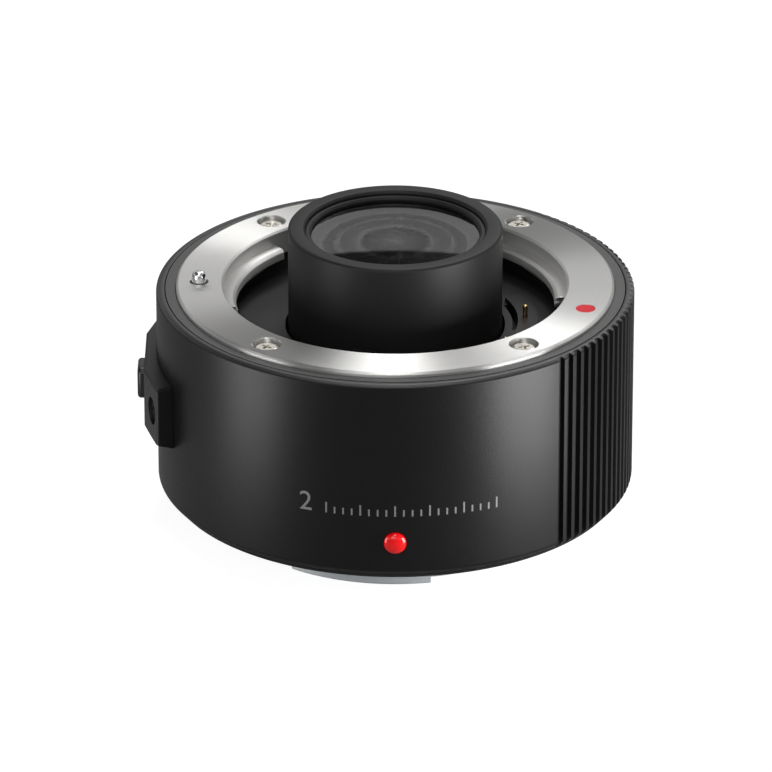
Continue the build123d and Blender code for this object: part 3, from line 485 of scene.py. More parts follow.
def settled(source: bpy.types.Object) -> bpy.types.Mesh:
    """A new mesh of an object as its modifiers leave it."""
    graph = bpy.context.evaluated_depsgraph_get()
    return bpy.data.meshes.new_from_object(source.evaluated_get(graph))


class Form:
    """A mesh in the making, in millimetres."""

    def __init__(self) -> None:
        """Starts empty."""
        self.mesh = bmesh.new()

    def outline(self, corners: Sequence[Corner], closed: bool = True, upright: bool = True) -> list:
        """Draws an outline with rounded corners.

        Args:
            corners: The corners, in order.
            closed: Whether the last corner is joined to the first.
            upright: Whether the outline stands in the XZ plane, or else lies in the XY plane.

        Returns:
            The vertices and edges of the outline.
        """
        old = set(self.mesh.verts)
        verts = [self.mesh.verts.new((a, 0.0, b) if upright else (a, b, 0.0))
                 for a, b, *_ in corners]
        pairs = list(zip(verts, verts[1:] + verts[:1]))
        for pair in pairs if closed else pairs[:-1]:
            self.mesh.edges.new(pair)
        for soft in sorted({corner[2] for corner in corners if len(corner) > 2}):
            chosen = [vert for vert, corner in zip(verts, corners) if soft in corner[2:]]
            bmesh.ops.bevel(self.mesh, geom=chosen, offset=soft, offset_type="OFFSET", segments=4,
                            profile=0.5, affect="VERTICES", material=-1, clamp_overlap=True)
        fresh = [vert for vert in self.mesh.verts if vert not in old]
        return fresh + list({edge for vert in fresh for edge in vert.link_edges})

    def spin(self, geom: Sequence, angle: float, steps: int) -> list:
        """Turns geometry round the Z axis, and gives what is at the end of the turn."""
        return bmesh.ops.spin(self.mesh, geom=list(geom), cent=(0, 0, 0), axis=(0, 0, 1),
                              angle=math.radians(angle), steps=steps,
                              use_merge=angle == FULL_TURN)["geom_last"]

    def ring(self, corners: Sequence[Corner], steps: int = 256) -> "Form":
        """Adds a full turn of a section, which stays open where both its ends are on the axis."""
        self.spin(self.outline(corners, bool(corners[0][0] or corners[-1][0])), FULL_TURN, steps)
        return self

    def filled(self) -> list:
        """Fills the outline, which is all that was drawn so far, and gives the face in a list."""
        return bmesh.ops.contextual_create(self.mesh, geom=self.mesh.edges[:])["faces"]

    def box(self, centre: Place, size: Place) -> "Form":
        """Adds a box by its middle and its sides."""
        bmesh.ops.create_cube(self.mesh, size=1.0,
                              matrix=Matrix.Translation(centre) @ Matrix.Diagonal((*size, 1.0)))
        return self

    def moved(self, matrix: Matrix) -> "Form":
        """Moves all that was drawn so far."""
        bmesh.ops.transform(self.mesh, matrix=matrix, verts=self.mesh.verts)
        return self

    def add(self, other: "Form", matrix: Matrix = Matrix.Identity(4)) -> "Form":
        """Adds a moved copy of another form.

        Args:
            other: The form to copy.
            matrix: Its place.

        Returns:
            This form.
        """
        copy = bpy.data.meshes.new("copy")
        other.mesh.to_mesh(copy)
        copy.transform(matrix)
        self.mesh.from_mesh(copy)
        bpy.data.meshes.remove(copy)
        return self

    def soften(self, width: float, angle: float = 30.0, segments: int = 3,
               keep: Callable[[bmesh.types.BMEdge], bool] = lambda edge: True) -> "Form":
        """Rounds the sharp edges.

        Args:
            width: The width of the rounding.
            angle: The least angle between faces, in degrees.
            segments: The number of strips.
            keep: Chooses among the sharp edges.

        Returns:
            This form.
        """
        self.tidy()
        edges = [edge for edge in self.mesh.edges
                 if len(edge.link_faces) == 2 and edge.calc_face_angle(0) > math.radians(angle)
                 and keep(edge)]
        bmesh.ops.bevel(self.mesh, geom=edges, offset=width, offset_type="OFFSET",
                        segments=segments, profile=0.5, affect="EDGES", material=-1,
                        clamp_overlap=True)
        return self

    def tidy(self) -> "Form":
        """Merges doubles and turns the faces outwards."""
        bmesh.ops.remove_doubles(self.mesh, verts=self.mesh.verts, dist=0.0005)
        bmesh.ops.dissolve_degenerate(self.mesh, edges=self.mesh.edges, dist=0.0001)
        bmesh.ops.recalc_face_normals(self.mesh, faces=self.mesh.faces)
        return self

    def loose(self, name: str) -> bpy.types.Object:
        """An object of this form in millimetres, for cutting."""
        self.tidy()
        data = bpy.data.meshes.new(name)
        self.mesh.to_mesh(data)
        return linked(name, data)

    def cut(self, *cutters: "Form") -> "Form":
        """Takes other forms away from this one.

        Args:
            *cutters: The forms to take away.

        Returns:
            This form.
        """
        target = self.loose("target")
        tools = [cutter.loose("tool") for cutter in cutters]
        for tool in tools:
            change = target.modifiers.new("cut", "BOOLEAN")
            change.operation = "DIFFERENCE"
            change.solver = "EXACT"
            change.object = tool
        self.mesh = bmesh.new()
        done = settled(target)
        self.mesh.from_mesh(done)
        for part in [target, *tools]:
            data = part.data
            bpy.data.objects.remove(part)
            bpy.data.meshes.remove(data)
        bpy.data.meshes.remove(done)
        return self

    def geom(self) -> list:
        """All vertices, edges and faces."""
        return [*self.mesh.verts, *self.mesh.edges, *self.mesh.faces]

    def piece(self, name: str, finish: Finish, slot: str, nodes: Sequence[str] = (),
              body: Body = Body.FIXED, sharp: float = 32.0) -> bpy.types.Object:
        """Turns the form into a finished piece in metres.

        Args:
            name: Its name.
            finish: Its finish.
            slot: The name of a material slot; not used.
            nodes: The CAD nodes that it stands for.
            body: The body that it rides on.
            sharp: The angle in degrees above which an edge is drawn sharp.

        Returns:
            The piece.
        """
        made = self.loose(name)
        made.data.transform(Matrix.Scale(MM, 4))
        made.data.shade_smooth()
        made.data.set_sharp_from_angle(angle=math.radians(sharp))
        even = made.modifiers.new("even", "WEIGHTED_NORMAL")
        even.keep_sharp = True
        made.data.materials.append(finish.material())
        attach(made, body.value)
        if nodes:
            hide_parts(*nodes)
        log.info("%s: %d faces on %s", name, len(made.data.polygons), body.value)
        return made


# ---- Finishes of this object ----

BARREL_BLACK = SatinCoat("barrel_black", (0.0018, 0.0018, 0.0019), 0.40, 0.3, 0.2, 0.011)
# A lighter, shinier copy of the barrel black for the faces at the top that point up: a painted
# sheen on the rim and bevel.
RIM_SHEEN_BLACK = SatinCoat("rim_painted_sheen", (0.010, 0.010, 0.010), 0.42, 0.70, 0.3, 0.002)
FRAME_GREY = SatinCoat("frame_grey", (0.035, 0.035, 0.035), 0.36, 0.75, 0.14, 0.003)
CHASSIS_BLACK = SatinCoat("chassis_black", (0.006, 0.006, 0.006), 0.5, 0.18)
FLOOR_GREY = SatinCoat("floor_grey", (0.020, 0.020, 0.020), 0.55, 0.3, 0.2, 0.008)
BLOCK_BLACK = SatinCoat("block_black", (0.007, 0.007, 0.007), 0.4, 0.3)
TUBE_BLACK = SatinCoat("tube_black", (0.0095, 0.0095, 0.0095), 0.52, 0.34, 0.1, 0.005)
HOUSING_BLACK = SatinCoat("housing_black", (0.008, 0.008, 0.008), 0.42, 0.32, 0.14, 0.006)
BUTTON_BLACK = SatinCoat("button_black", (0.006, 0.006, 0.006), 0.3, 0.4, 0.14, 0.004)
CHIP_BLACK = SatinCoat("chip_black", (0.012, 0.012, 0.012), 0.6, 0.3)
SOCKET_IVORY = SatinCoat("socket_ivory", (0.55, 0.52, 0.44), 0.5, 0.5)
MARK_GREY = SatinCoat("mark_grey", (0.22, 0.22, 0.22), 0.6, 0.3, 0.08, 0.002)
RING_STEEL = TurnedSteel("ring_steel", (0.70, 0.695, 0.68))
REAR_STEEL = TurnedSteel("rear_steel", (0.80, 0.84, 0.87), 0.35, 0.2, 0.4, 0.5)
SCREW_STEEL = PlainMetal("screw_steel", (0.80, 0.77, 0.70), 0.26, 0.5, 0.0004)
SPRING_STEEL = PlainMetal("spring_steel", (0.42, 0.42, 0.42), 0.3)
SHEET_STEEL = PlainMetal("sheet_steel", (0.45, 0.45, 0.46), 0.35, 1.5)
PIN_CHROME = PlainMetal("pin_chrome", (0.80, 0.80, 0.81), 0.24, 1.0, 0.0)
GOLD_PLATE = PlainMetal("gold_plate", (0.85, 0.58, 0.26), 0.18, 0.4)
DOT_RED = Enamel("dot_red", (1.0, 0.03, 0.05), 0.6, 0.0, 0.3)
BEAD_RED = Enamel("bead_red", (1.0, 0.0, 0.002), 0.3, 0.9, 0.2)
# The front glass gets painted rings of reflection in its mirror share.
FRONT_GLASS_PAINTED_RINGS = CoatedGlass("front_glass_painted_rings", (0.90, 0.91, 0.90), 1.0, 1.6, painted_rings=(
    (0.0, 0.80), (1.4, 0.64), (4.0, 0.48), (4.7, 0.88), (5.5, 0.66), (6.9, 0.66), (7.4, 0.90),
    (8.0, 0.62), (9.0, 0.70), (9.4, 1.0), (10.0, 0.90), (12.0, 1.0)))
LENS_GLASS = CoatedGlass("lens_glass", (0.88, 0.90, 0.89), 0.03)
BOARD_GREEN = CircuitBoard("board_green")
FLEX_AMBER = FlexFilm("flex_amber")


# ---- Sub-assemblies ----


@dataclass
class Barrel:
    """The outer tube with its grip ribs, the marking and the index bead."""

    wall_r: float = 30.6
    bore_r: float = 29.5
    lip_r: float = 28.9
    foot_r: float = 29.874
    foot_z: float = 1.45
    lip_z: float = 2.25
    chamfer_z: float = 2.26
    bevel_z: float = 27.6
    bevel_r: float = 30.0
    top_z: float = 27.9
    # How far up a face at the top must point to get the painted sheen.
    sheen_rim_level: float = 0.7
    groove_floor_r: float = 30.0
    groove_half: float = 0.43
    groove_slope: float = 0.09
    ribs_per_turn: int = 126
    grooves: int = 35
    first_groove: float = -46.9
    columns_per_rib: int = 22
    plain_columns: int = 260
    bead_z: float = 6.25
    bead_r: float = 1.43
    bead_dome: float = 0.75
    bead_foot_r: float = 29.6
    bead_proud: float = 0.1
    bead_gap: float = 0.05
    window_centre: Place = (-29.9, 0.0, 14.9)
    window_size: Place = (3.0, 6.5, 6.4)
    mark_z: float = 9.9
    mark_height: float = 2.7
    mark_angle: float = -113.2
    size_per_height: float = 1.37
    fold_step: float = 0.3
    tick_count: int = 21
    tick_first: float = -106.4
    tick_step: float = 2.05
    tick_w: float = 0.22
    tick_h: float = 1.45
    tick_short: float = 0.62
    tick_group: int = 4
    mark_proud: float = 0.015

    def _groove_depth(self, angle: float) -> float:
        """The share of the outside's height above the floor of the grooves, at an angle."""
        pitch = FULL_TURN / self.ribs_per_turn
        steps = (angle - self.first_groove) / pitch
        nearest = min(max(round(steps), 0), self.grooves - 1)
        away = abs(steps - nearest) * pitch * math.radians(self.wall_r)
        share = min(max((away - self.groove_half) / self.groove_slope + 0.5, 0), 1)
        return share * share * (3 - 2 * share)

    def tube(self) -> Form:
        """The barrel: a spun section whose grip part is pressed in at the grooves."""
        form = Form()
        section = form.outline([
            (self.lip_r, self.foot_z), (self.foot_r, self.foot_z, 0.06),
            (self.wall_r, self.chamfer_z, 0.2), (self.wall_r, self.bevel_z, 0.14),
            (self.bevel_r, self.top_z, 0.12), (self.bore_r, self.top_z, 0.08),
            (self.bore_r, self.lip_z), (self.lip_r, self.lip_z),
        ])
        pitch = FULL_TURN / self.ribs_per_turn
        start = self.first_groove - pitch / 2
        form.moved(turned(start))
        grip = pitch * self.grooves
        end = form.spin(section, grip, self.columns_per_rib * self.grooves)
        form.spin(end, FULL_TURN - grip, self.plain_columns)
        for vert in form.mesh.verts:
            radius = math.hypot(vert.co.x, vert.co.y)
            if radius <= self.groove_floor_r:
                continue
            share = self._groove_depth(math.degrees(math.atan2(vert.co.y, vert.co.x)))
            limit = self.groove_floor_r + (self.wall_r - self.groove_floor_r) * share
            if radius > limit:
                vert.co.x *= limit / radius
                vert.co.y *= limit / radius
        return form

    def openings(self) -> list[Form]:
        """The cutters for the bead's hole and the button's window."""
        hole_r = self.bead_r + self.bead_gap
        bead = Form().ring([(0, -1.5), (hole_r, -1.5), (hole_r, 3), (0, 3)], 64)
        bead.moved(turned(90, "X", (0, -self.wall_r, self.bead_z)))
        return [bead, Form().box(self.window_centre, self.window_size)]

    def bead(self) -> Form:
        """The domed bead that stands in the barrel's side."""
        rim = self.wall_r + self.bead_proud - self.bead_foot_r
        form = Form()
        section = form.outline([(0, 0), (self.bead_r, 0), (self.bead_r, rim)], False)
        form.spin(section, FULL_TURN, 72)
        crown = Form()
        bmesh.ops.create_uvsphere(crown.mesh, u_segments=72, v_segments=48, radius=1.0)
        bmesh.ops.bisect_plane(crown.mesh, geom=crown.geom(), plane_co=(0, 0, 0),
                               plane_no=(0, 0, -1), clear_outer=True)
        form.add(crown, Matrix.Translation((0, 0, rim)) @ Matrix.Diagonal(
            (self.bead_r, self.bead_r, self.bead_dome, 1.0)))
        return form.moved(turned(90, "X", (0, -self.bead_foot_r, self.bead_z)))

    def numeral(self) -> Form:
        """The plain numeral of the marking, flat: X along the wall, Y above it and Z up."""
        curve = bpy.data.curves.new("numeral", "FONT")
        curve.body = "2"
        curve.size = self.mark_height * self.size_per_height
        curve.resolution_u = 12
        writer = linked("numeral", curve)
        bpy.context.view_layer.update()
        flat = settled(writer)
        form = Form()
        form.mesh.from_mesh(flat)
        bpy.data.objects.remove(writer)
        bpy.data.curves.remove(curve)
        bpy.data.meshes.remove(flat)
        bmesh.ops.remove_doubles(form.mesh, verts=form.mesh.verts, dist=0.001)
        bmesh.ops.triangulate(form.mesh, faces=form.mesh.faces)
        for fold in range(1, 8):
            bmesh.ops.bisect_plane(form.mesh, geom=form.geom(), plane_no=(1, 0, 0),
                                   plane_co=(fold * self.fold_step, 0, 0))
        start = math.radians(self.mark_angle + 90) * self.wall_r
        return form.moved(turned(90, "X", (start, self.mark_proud, self.mark_z)))

    def ticks(self) -> Form:
        """The row of plain ticks beside the numeral, flat in the same way."""
        form = Form()
        proud = self.mark_proud / 2
        for index in range(self.tick_count):
            angle = self.tick_first + index * self.tick_step
            length = math.radians(angle + 90) * self.wall_r
            tall = self.tick_h * (self.tick_short if index % self.tick_group else 1.0)
            form.box((length, proud, self.mark_z + tall / 2), (self.tick_w, self.mark_proud, tall))
        return form

    def build(self) -> None:
        """Builds and dresses the pieces."""
        slot = "barrel_black"
        tube = self.tube().cut(*self.openings()).piece(
            "barrel_tube", BARREL_BLACK, slot, ["outer_barrel"])
        # Faces at the top that point up get the lighter, shinier black: a painted sheen.
        tube.data.materials.append(RIM_SHEEN_BLACK.material())
        for face in tube.data.polygons:
            sheen_on_top = face.center.z > (self.bevel_z - 0.05) * MM
            face.material_index = int(sheen_on_top and face.normal.z > self.sheen_rim_level)
        self.bead().piece("index_bead", BEAD_RED, "red_bead", ["side_index_bead"])
        for name, flat in (("numeral", self.numeral()), ("ticks", self.ticks())):
            for vert in flat.mesh.verts:
                angle = vert.co.x / self.wall_r - math.pi / 2
                radius = self.wall_r + vert.co.y
                vert.co = (radius * math.cos(angle), radius * math.sin(angle), vert.co.z)
            flat.piece(f"marking_{name}", MARK_GREY, slot)


@dataclass
class FrontMount:
    """The steel bayonet ring with its screws and index dot."""

    throat_r: float = 22.0
    wall_r: float = 23.1
    ring_r: float = 28.05
    seat_z: float = 26.7
    face_z: float = 28.5
    edge: float = 0.3
    throat_edge: float = 0.25
    tab_r: float = 20.4
    tab_low_z: float = 25.2
    tab_top_z: float = 26.6
    tab_edge: float = 0.4
    tab_spans: tuple[tuple, ...] = ((135.0, 190.0), (-2.0, 60.0), (-112.0, -57.0))
    screw_circle_r: float = 25.1
    screw_angles: tuple = (50.0, 130.0, -50.0, -130.0)
    screw_turns: tuple = (12.0, 38.0, -20.0, 5.0)
    bore_r: float = 1.8
    bore_depth: float = 0.9
    bore_edge: float = 0.12
    pin_hole_r: float = 1.2
    pin_hole_depth: float = 2.4
    pin_hole_edge: float = 0.05
    dot_r: float = 1.25
    dot_circle_r: float = 25.55
    dot_angle: float = -19.1
    dot_depth: float = 0.25
    dot_edge: float = 0.03
    dot_t: float = 0.2
    head_r: float = 1.66
    head_h: float = 0.52
    shank_r: float = 0.8
    shank_length: float = 3.4
    cross_top: Place = (0.92, 0.22, 0.57)
    cross_foot: Place = (0.50, 0.14, -0.26)

    def _sink(self, radius: float, depth: float, edge: float) -> Form:
        """A round cutter down to a depth, which flares by an edge break at zero height."""
        return Form().ring([
            (0, -depth), (radius, -depth, 0.05), (radius, -edge),
            (radius + edge * 2, edge), (0, edge),
        ], 96)

    def ring(self) -> Form:
        """The ring with its tabs, counterbores, pin hole and index recess."""
        low, face = self.tab_low_z, self.face_z
        form = Form().ring([
            (self.throat_r, low), (self.wall_r, low), (self.wall_r, self.seat_z),
            (self.ring_r, self.seat_z), (self.ring_r, face - self.edge, 0.06),
            (self.ring_r - self.edge, face, 0.06), (self.throat_r + self.throat_edge, face, 0.025),
            (self.throat_r, face - self.throat_edge, 0.025),
        ], 360)
        tools = [self._sink(self.bore_r, self.bore_depth, self.bore_edge).moved(
            around(self.screw_circle_r, angle, face)) for angle in self.screw_angles]
        pin_hole = self._sink(self.pin_hole_r, self.pin_hole_depth, self.pin_hole_edge)
        recess = self._sink(self.dot_r, self.dot_depth, self.dot_edge)
        form.cut(*tools, pin_hole.moved(around(self.screw_circle_r, 180.0, face)),
                 recess.moved(around(self.dot_circle_r, self.dot_angle, face)))
        inner, outer, top = self.tab_r, self.throat_r + OVERLAP, self.tab_top_z
        for start, end in self.tab_spans:
            tab = Form()
            section = tab.outline([(inner, low), (outer, low), (outer, top),
                                   (inner + self.tab_edge, top), (inner, top - self.tab_edge)])
            tab.moved(turned(start)).spin(section + tab.filled(), end - start, 72)
            form.add(tab.soften(0.04, 20.0, 2))
        return form

    def screw(self) -> Form:
        """A cross-head screw with the seat of its head at zero height."""
        head_r, head_h = self.head_r, self.head_h
        form = Form().ring([
            (0, head_h), (head_r * 0.75, head_h - 0.02, 0.12), (head_r, head_h * 0.55, 0.14),
            (head_r, 0, 0.04), (self.shank_r, 0), (self.shank_r, -self.shank_length, 0.1),
            (0, -self.shank_length),
        ], 64)
        bars = []
        for turn in (0.0, 90.0):
            bar = Form().box((0, 0, 0), (1.0, 1.0, 1.0))
            for vert in bar.mesh.verts:
                long, wide, high = self.cross_foot if vert.co.z < 0 else self.cross_top
                vert.co = (vert.co.x * head_r * long, vert.co.y * head_r * wide, high)
            bars.append(bar.moved(turned(turn)))
        return form.cut(*bars)

    def screws(self) -> Form:
        """The four screws of the ring, each at its own turn."""
        one = self.screw()
        form = Form()
        for angle, turn in zip(self.screw_angles, self.screw_turns):
            form.add(one, around(self.screw_circle_r, angle, self.face_z - self.bore_depth, turn))
        return form

    def dot(self) -> Form:
        """The paint in the index recess, its rim a little higher than its middle."""
        low = self.face_z - self.dot_depth
        form = Form().ring([
            (0, low), (self.dot_r, low), (self.dot_r, low + self.dot_t, 0.03),
            (self.dot_r * 0.8, low + self.dot_t * 0.8, 0.1),
            (0, low + self.dot_t * 0.75),
        ], 72)
        return form.moved(around(self.dot_circle_r, self.dot_angle))

    def build(self) -> None:
        """Builds and dresses the pieces."""
        self.ring().piece("bayonet_ring", RING_STEEL, "steel_mount", ["front_mount_ring"])
        self.screws().piece("ring_screws", SCREW_STEEL, "screw_steel", ["front_mount_screws"])
        self.dot().piece("index_dot", DOT_RED, "red_paint", ["front_index_dot"])


@dataclass
class LensTube:
    """The black tube with the glass in it."""

    bore_r: float = 11.5
    wall_r: float = 13.7
    foot_z: float = 3.4
    foot_top_z: float = 4.6
    foot_r: float = 21.0
    top_z: float = 36.1
    lip_soft: float = 0.4
    mouth_edge: float = 0.3
    glass_r: float = 11.45
    clear_r: float = 10.6
    retainer_w: float = 0.7
    retainer_top_z: float = 35.55
    retainer_z: float = 34.95
    retainer_edge: float = 0.3

    def tube(self) -> Form:
        """The tube: foot flange, wall, rounded lip and the stepped mouth."""
        return Form().ring([
            (self.bore_r, self.foot_z), (self.foot_r, self.foot_z),
            (self.foot_r, self.foot_top_z), (self.wall_r, self.foot_top_z),
            (self.wall_r, self.top_z, self.lip_soft),
            (self.bore_r + self.mouth_edge, self.top_z, 0.08),
            (self.bore_r, self.top_z - self.mouth_edge, 0.08),
        ])

    def retainer(self) -> Form:
        """The ring that holds the front glass, with a sloped inner edge."""
        inner = self.glass_r - self.retainer_w
        return Form().ring([
            (inner, self.retainer_z), (self.glass_r, self.retainer_z),
            (self.glass_r, self.retainer_top_z, 0.05),
            (inner + self.retainer_edge, self.retainer_top_z, 0.05),
            (inner, self.retainer_top_z - self.retainer_edge, 0.04),
        ])

    def element(self, low: float, high: float, top_rise: float, bottom_rise: float) -> Form:
        """A lens element with domed or dished faces.

        Args:
            low: The height of its lower edge.
            high: The height of its upper edge.
            top_rise: The rise of the upper face outwards.
            bottom_rise: The rise of the lower face outwards.

        Returns:
            The element.
        """
        form = Form()
        ends = []
        for edge_z, rise in ((high, top_rise), (low, -bottom_rise)):
            ball = (self.clear_r ** 2 + rise ** 2) / (2 * rise)
            middle = form.mesh.verts.new((0, 0, edge_z + rise))
            arc = bmesh.ops.spin(form.mesh, geom=[middle], cent=(0, 0, edge_z + rise - ball),
                                 axis=(0, 1, 0), angle=math.asin(self.clear_r / ball), steps=28)
            ends.append(verts_of(arc["geom_last"])[0])
        rims = [form.mesh.verts.new((self.glass_r, 0, height)) for height in (high, low)]
        for pair in ((ends[0], rims[0]), rims, (rims[1], ends[1])):
            form.mesh.edges.new(pair)
        form.spin(form.geom(), FULL_TURN, 128)
        return form

    def build(self) -> None:
        """Builds and dresses the pieces."""
        self.tube().piece("lens_barrel", TUBE_BLACK, "tube_black", ["lens_tube"])
        self.retainer().piece("glass_ring", TUBE_BLACK, "tube_black", ["front_retainer"])
        places = {
            "lens_element_1": (33.4, 34.95, 0.5, 1.8),
            "lens_element_2": (28.6, 33.4, -1.8, -1.2),
        }
        for name, (low, high, top, bottom) in places.items():
            glass = self.element(low, high, top, bottom).piece(
                f"glass_{name[-1]}", LENS_GLASS, "coated_glass", [name], sharp=20.0)
            # The upper face of the first element gets the glass with the painted rings of
            # reflection.
            glass.data.materials.append(FRONT_GLASS_PAINTED_RINGS.material())
            for face in glass.data.polygons:
                face.material_index = int(top > 0 and face.normal.z > 0.5)


@dataclass
class LockPin:
    """The chrome pin that locks the lens."""

    place_x: float = -25.1
    stem_r: float = 0.92
    waist_r: float = 0.5
    flange_r: float = 1.7
    foot_z: float = 16.3
    waist_z: float = 17.0
    waist_top_z: float = 18.5
    flange_z: float = 22.6
    flange_top_z: float = 23.4
    taper_z: float = 29.3
    tip_r: float = 0.72
    top_z: float = 29.95

    def build(self) -> None:
        """Builds and dresses the pin."""
        form = Form().ring([
            (0, self.foot_z), (self.stem_r, self.foot_z, 0.08),
            (self.stem_r, self.waist_z), (self.waist_r, self.waist_z),
            (self.waist_r, self.waist_top_z), (self.stem_r, self.waist_top_z),
            (self.stem_r, self.flange_z), (self.flange_r, self.flange_z, 0.08),
            (self.flange_r, self.flange_top_z, 0.08), (self.stem_r, self.flange_top_z),
            (self.stem_r, self.taper_z, 0.3), (self.tip_r, self.top_z - 0.12, 0.3),
            (0, self.top_z),
        ], 72)
        form.moved(Matrix.Translation((self.place_x, 0, 0))).piece(
            "locking_pin", PIN_CHROME, "pin_chrome", ["lock_pin"], Body.LOCK_PIN)


@dataclass
class ReleaseButton:
    """The button that frees the lens, a rounded cap on a flange."""

    front_x: float = -33.1
    flange_x: float = -31.15
    flange_t: float = 0.8
    middle_z: float = 14.9
    half_w: float = 2.2
    half_h: float = 2.15
    corner: float = 0.9
    edge: float = 0.45
    flange_w: float = 6.0
    flange_h: float = 5.9
    seat_drop: float = 1.4
    seat_r: float = 0.92
    seat_depth: float = 0.6

    def build(self) -> None:
        """Builds and dresses the button."""
        form = Form()
        form.outline([(side * self.half_h, end * self.half_w, self.corner)
                      for side, end in ((-1, -1), (1, -1), (1, 1), (-1, 1))], upright=False)
        grown = bmesh.ops.extrude_face_region(form.mesh, geom=form.filled(), use_keep_orig=True)
        bmesh.ops.translate(form.mesh, verts=verts_of(grown["geom"]),
                            vec=(0, 0, self.flange_x - self.front_x + OVERLAP))
        form.soften(self.edge, 60.0, 5, lambda edge: all(vert.co.z < 0.01 for vert in edge.verts))
        form.moved(turned(90, "Y", (self.front_x, 0, self.middle_z)))
        back = self.flange_x + self.flange_t
        flange = Form().box((self.flange_x + self.flange_t / 2, 0, self.middle_z),
                            (self.flange_t, self.flange_w, self.flange_h)).soften(0.12, 30.0, 2)
        seat = Form().ring([(0, 0), (self.seat_r, 0), (self.seat_r, 1), (0, 1)], 48)
        seat.moved(turned(90, "Y", (back - self.seat_depth, 0, self.middle_z - self.seat_drop)))
        form.add(flange.cut(seat)).piece(
            "push_button", BUTTON_BLACK, "button_black", ["release_button"], Body.BUTTON)


@dataclass(frozen=True)
class CoilSpring:
    """Coil springs of one size."""

    name: str
    node: str
    joint: str
    travel: float
    coil_r: float
    wire_r: float
    height: float
    turns: int
    foot: Place
    axis: Place
    angles: tuple = (0.0,)
    gap: float = 0.03
    steps_per_turn: int = 32

    def coil(self) -> Form:
        """One spring that stands on zero height."""
        form = Form()
        low = self.wire_r + self.gap
        steps = self.steps_per_turn * self.turns
        end = bmesh.ops.create_circle(form.mesh, cap_ends=True, segments=12, radius=self.wire_r,
                                      matrix=turned(90, "X", (self.coil_r, 0, low)))
        face = end["verts"][0].link_faces[0]
        bmesh.ops.spin(form.mesh, geom=[face, *face.edges, *face.verts], cent=(0, 0, 0),
                       axis=(0, 0, 1), dvec=(0, 0, (self.height - 2 * low) / steps),
                       angle=math.tau * self.turns, steps=steps, use_merge=False)
        return form

    def build(self) -> None:
        """Builds and dresses the springs."""
        aim = Vector(self.axis).to_track_quat("Z", "Y").to_matrix().to_4x4()
        one = self.coil()
        form = Form()
        for angle in self.angles:
            form.add(one, turned(angle) @ Matrix.Translation(self.foot) @ aim)
        made = form.piece(self.name, SPRING_STEEL, "spring_steel", [self.node])
        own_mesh(made)


SPRINGS = (
    CoilSpring("pin_spring", "lock_pin_spring", "lock_pin_slide", 1.5, 1.45, 0.15, 2.9, 4,
               (-25.1, 0.0, 19.7), (0.0, 0.0, 1.0)),
    CoilSpring("push_spring", "button_spring", "button_press", 0.9, 1.18, 0.13, 3.35, 4,
               (-27.0, 0.0, 13.5), (-1.0, 0.0, 0.0)),
    CoilSpring("contact_springs", "contact_pin_springs", "contact_pins_press", 1.0, 0.38, 0.07,
               3.4, 5, (16.7, 0.0, 17.6), (0.0, 0.0, 1.0),
               (3.2, *(-33.0 - 7.0 * place for place in range(10)))),
)


@dataclass
class CarriedOver:
    """The CAD nodes that keep their own mesh, by the finish that they get."""

    finishes: tuple = (
        (FRAME_GREY, "front_frame"),
        (BARREL_BLACK, "rear_frame"),
        (SCREW_STEEL, "frame_screws baffle_screws contact_block_screws rear_mount_screws"
                      " rear_contact_screws board_screws tube_screws bracket_screws"),
        (SPRING_STEEL, "bayonet_spring"),
        (FLOOR_GREY, "inner_baffle"),
        (BLOCK_BLACK, "front_contact_block rear_contact_block"),
        (GOLD_PLATE, "front_contact_pins rear_contact_pads"),
        (FLEX_AMBER, "front_contact_board front_flex rear_flex"),
        (REAR_STEEL, "rear_mount"),
        (CHASSIS_BLACK, "rear_baffle"),
        (BOARD_GREEN, "main_board"),
        (SOCKET_IVORY, "board_connectors"),
        (CHIP_BLACK, "controller_chip"),
        (HOUSING_BLACK, "release_housing"),
        (BUTTON_BLACK, "housing_screws"),
        (PIN_CHROME, "button_plunger lever_pivot_pin"),
        (SHEET_STEEL, "release_bracket release_lever"),
        (TUBE_BLACK, "front_spacer middle_spacer rear_spacer rear_retainer"),
        *((LENS_GLASS, f"lens_element_{place}") for place in range(3, 8)),
    )

    def dress(self, nodes: dict[str, bpy.types.Object]) -> None:
        """Gives each carried-over node its finish.

        Args:
            nodes: The CAD nodes by name.
        """
        for finish, names in self.finishes:
            for node in (nodes[name] for name in names.split()):
                if not node.material_slots:
                    node.data.materials.append(finish.material())
                for slot in node.material_slots:
                    slot.material = finish.material()
                log.info("%s keeps its CAD mesh in %s", node.name, finish.name)


# ---- Studio ----


@dataclass(frozen=True)
class SoftBox:
    """A soft area light that looks at the object."""

    name: str
    azimuth: float
    elevation: float
    distance: float
    width: float
    height: float
    radiance: float

    def build(self, target: Vector) -> None:
        """Hangs the light.

        Args:
            target: The point that it looks at, in metres.
        """
        a, e = math.radians(self.azimuth), math.radians(self.elevation)
        away = Vector((math.cos(a) * math.cos(e), math.sin(a) * math.cos(e), math.sin(e)))
        data = bpy.data.lights.new(self.name, "AREA")
        data.shape = "RECTANGLE"
        data.size = self.width
        data.size_y = self.height
        data.energy = self.radiance * math.pi * self.width * self.height
        lamp = linked(self.name, data)
        lamp.location = target + away * self.distance
        lamp.rotation_euler = away.to_track_quat("Z", "Y").to_euler()


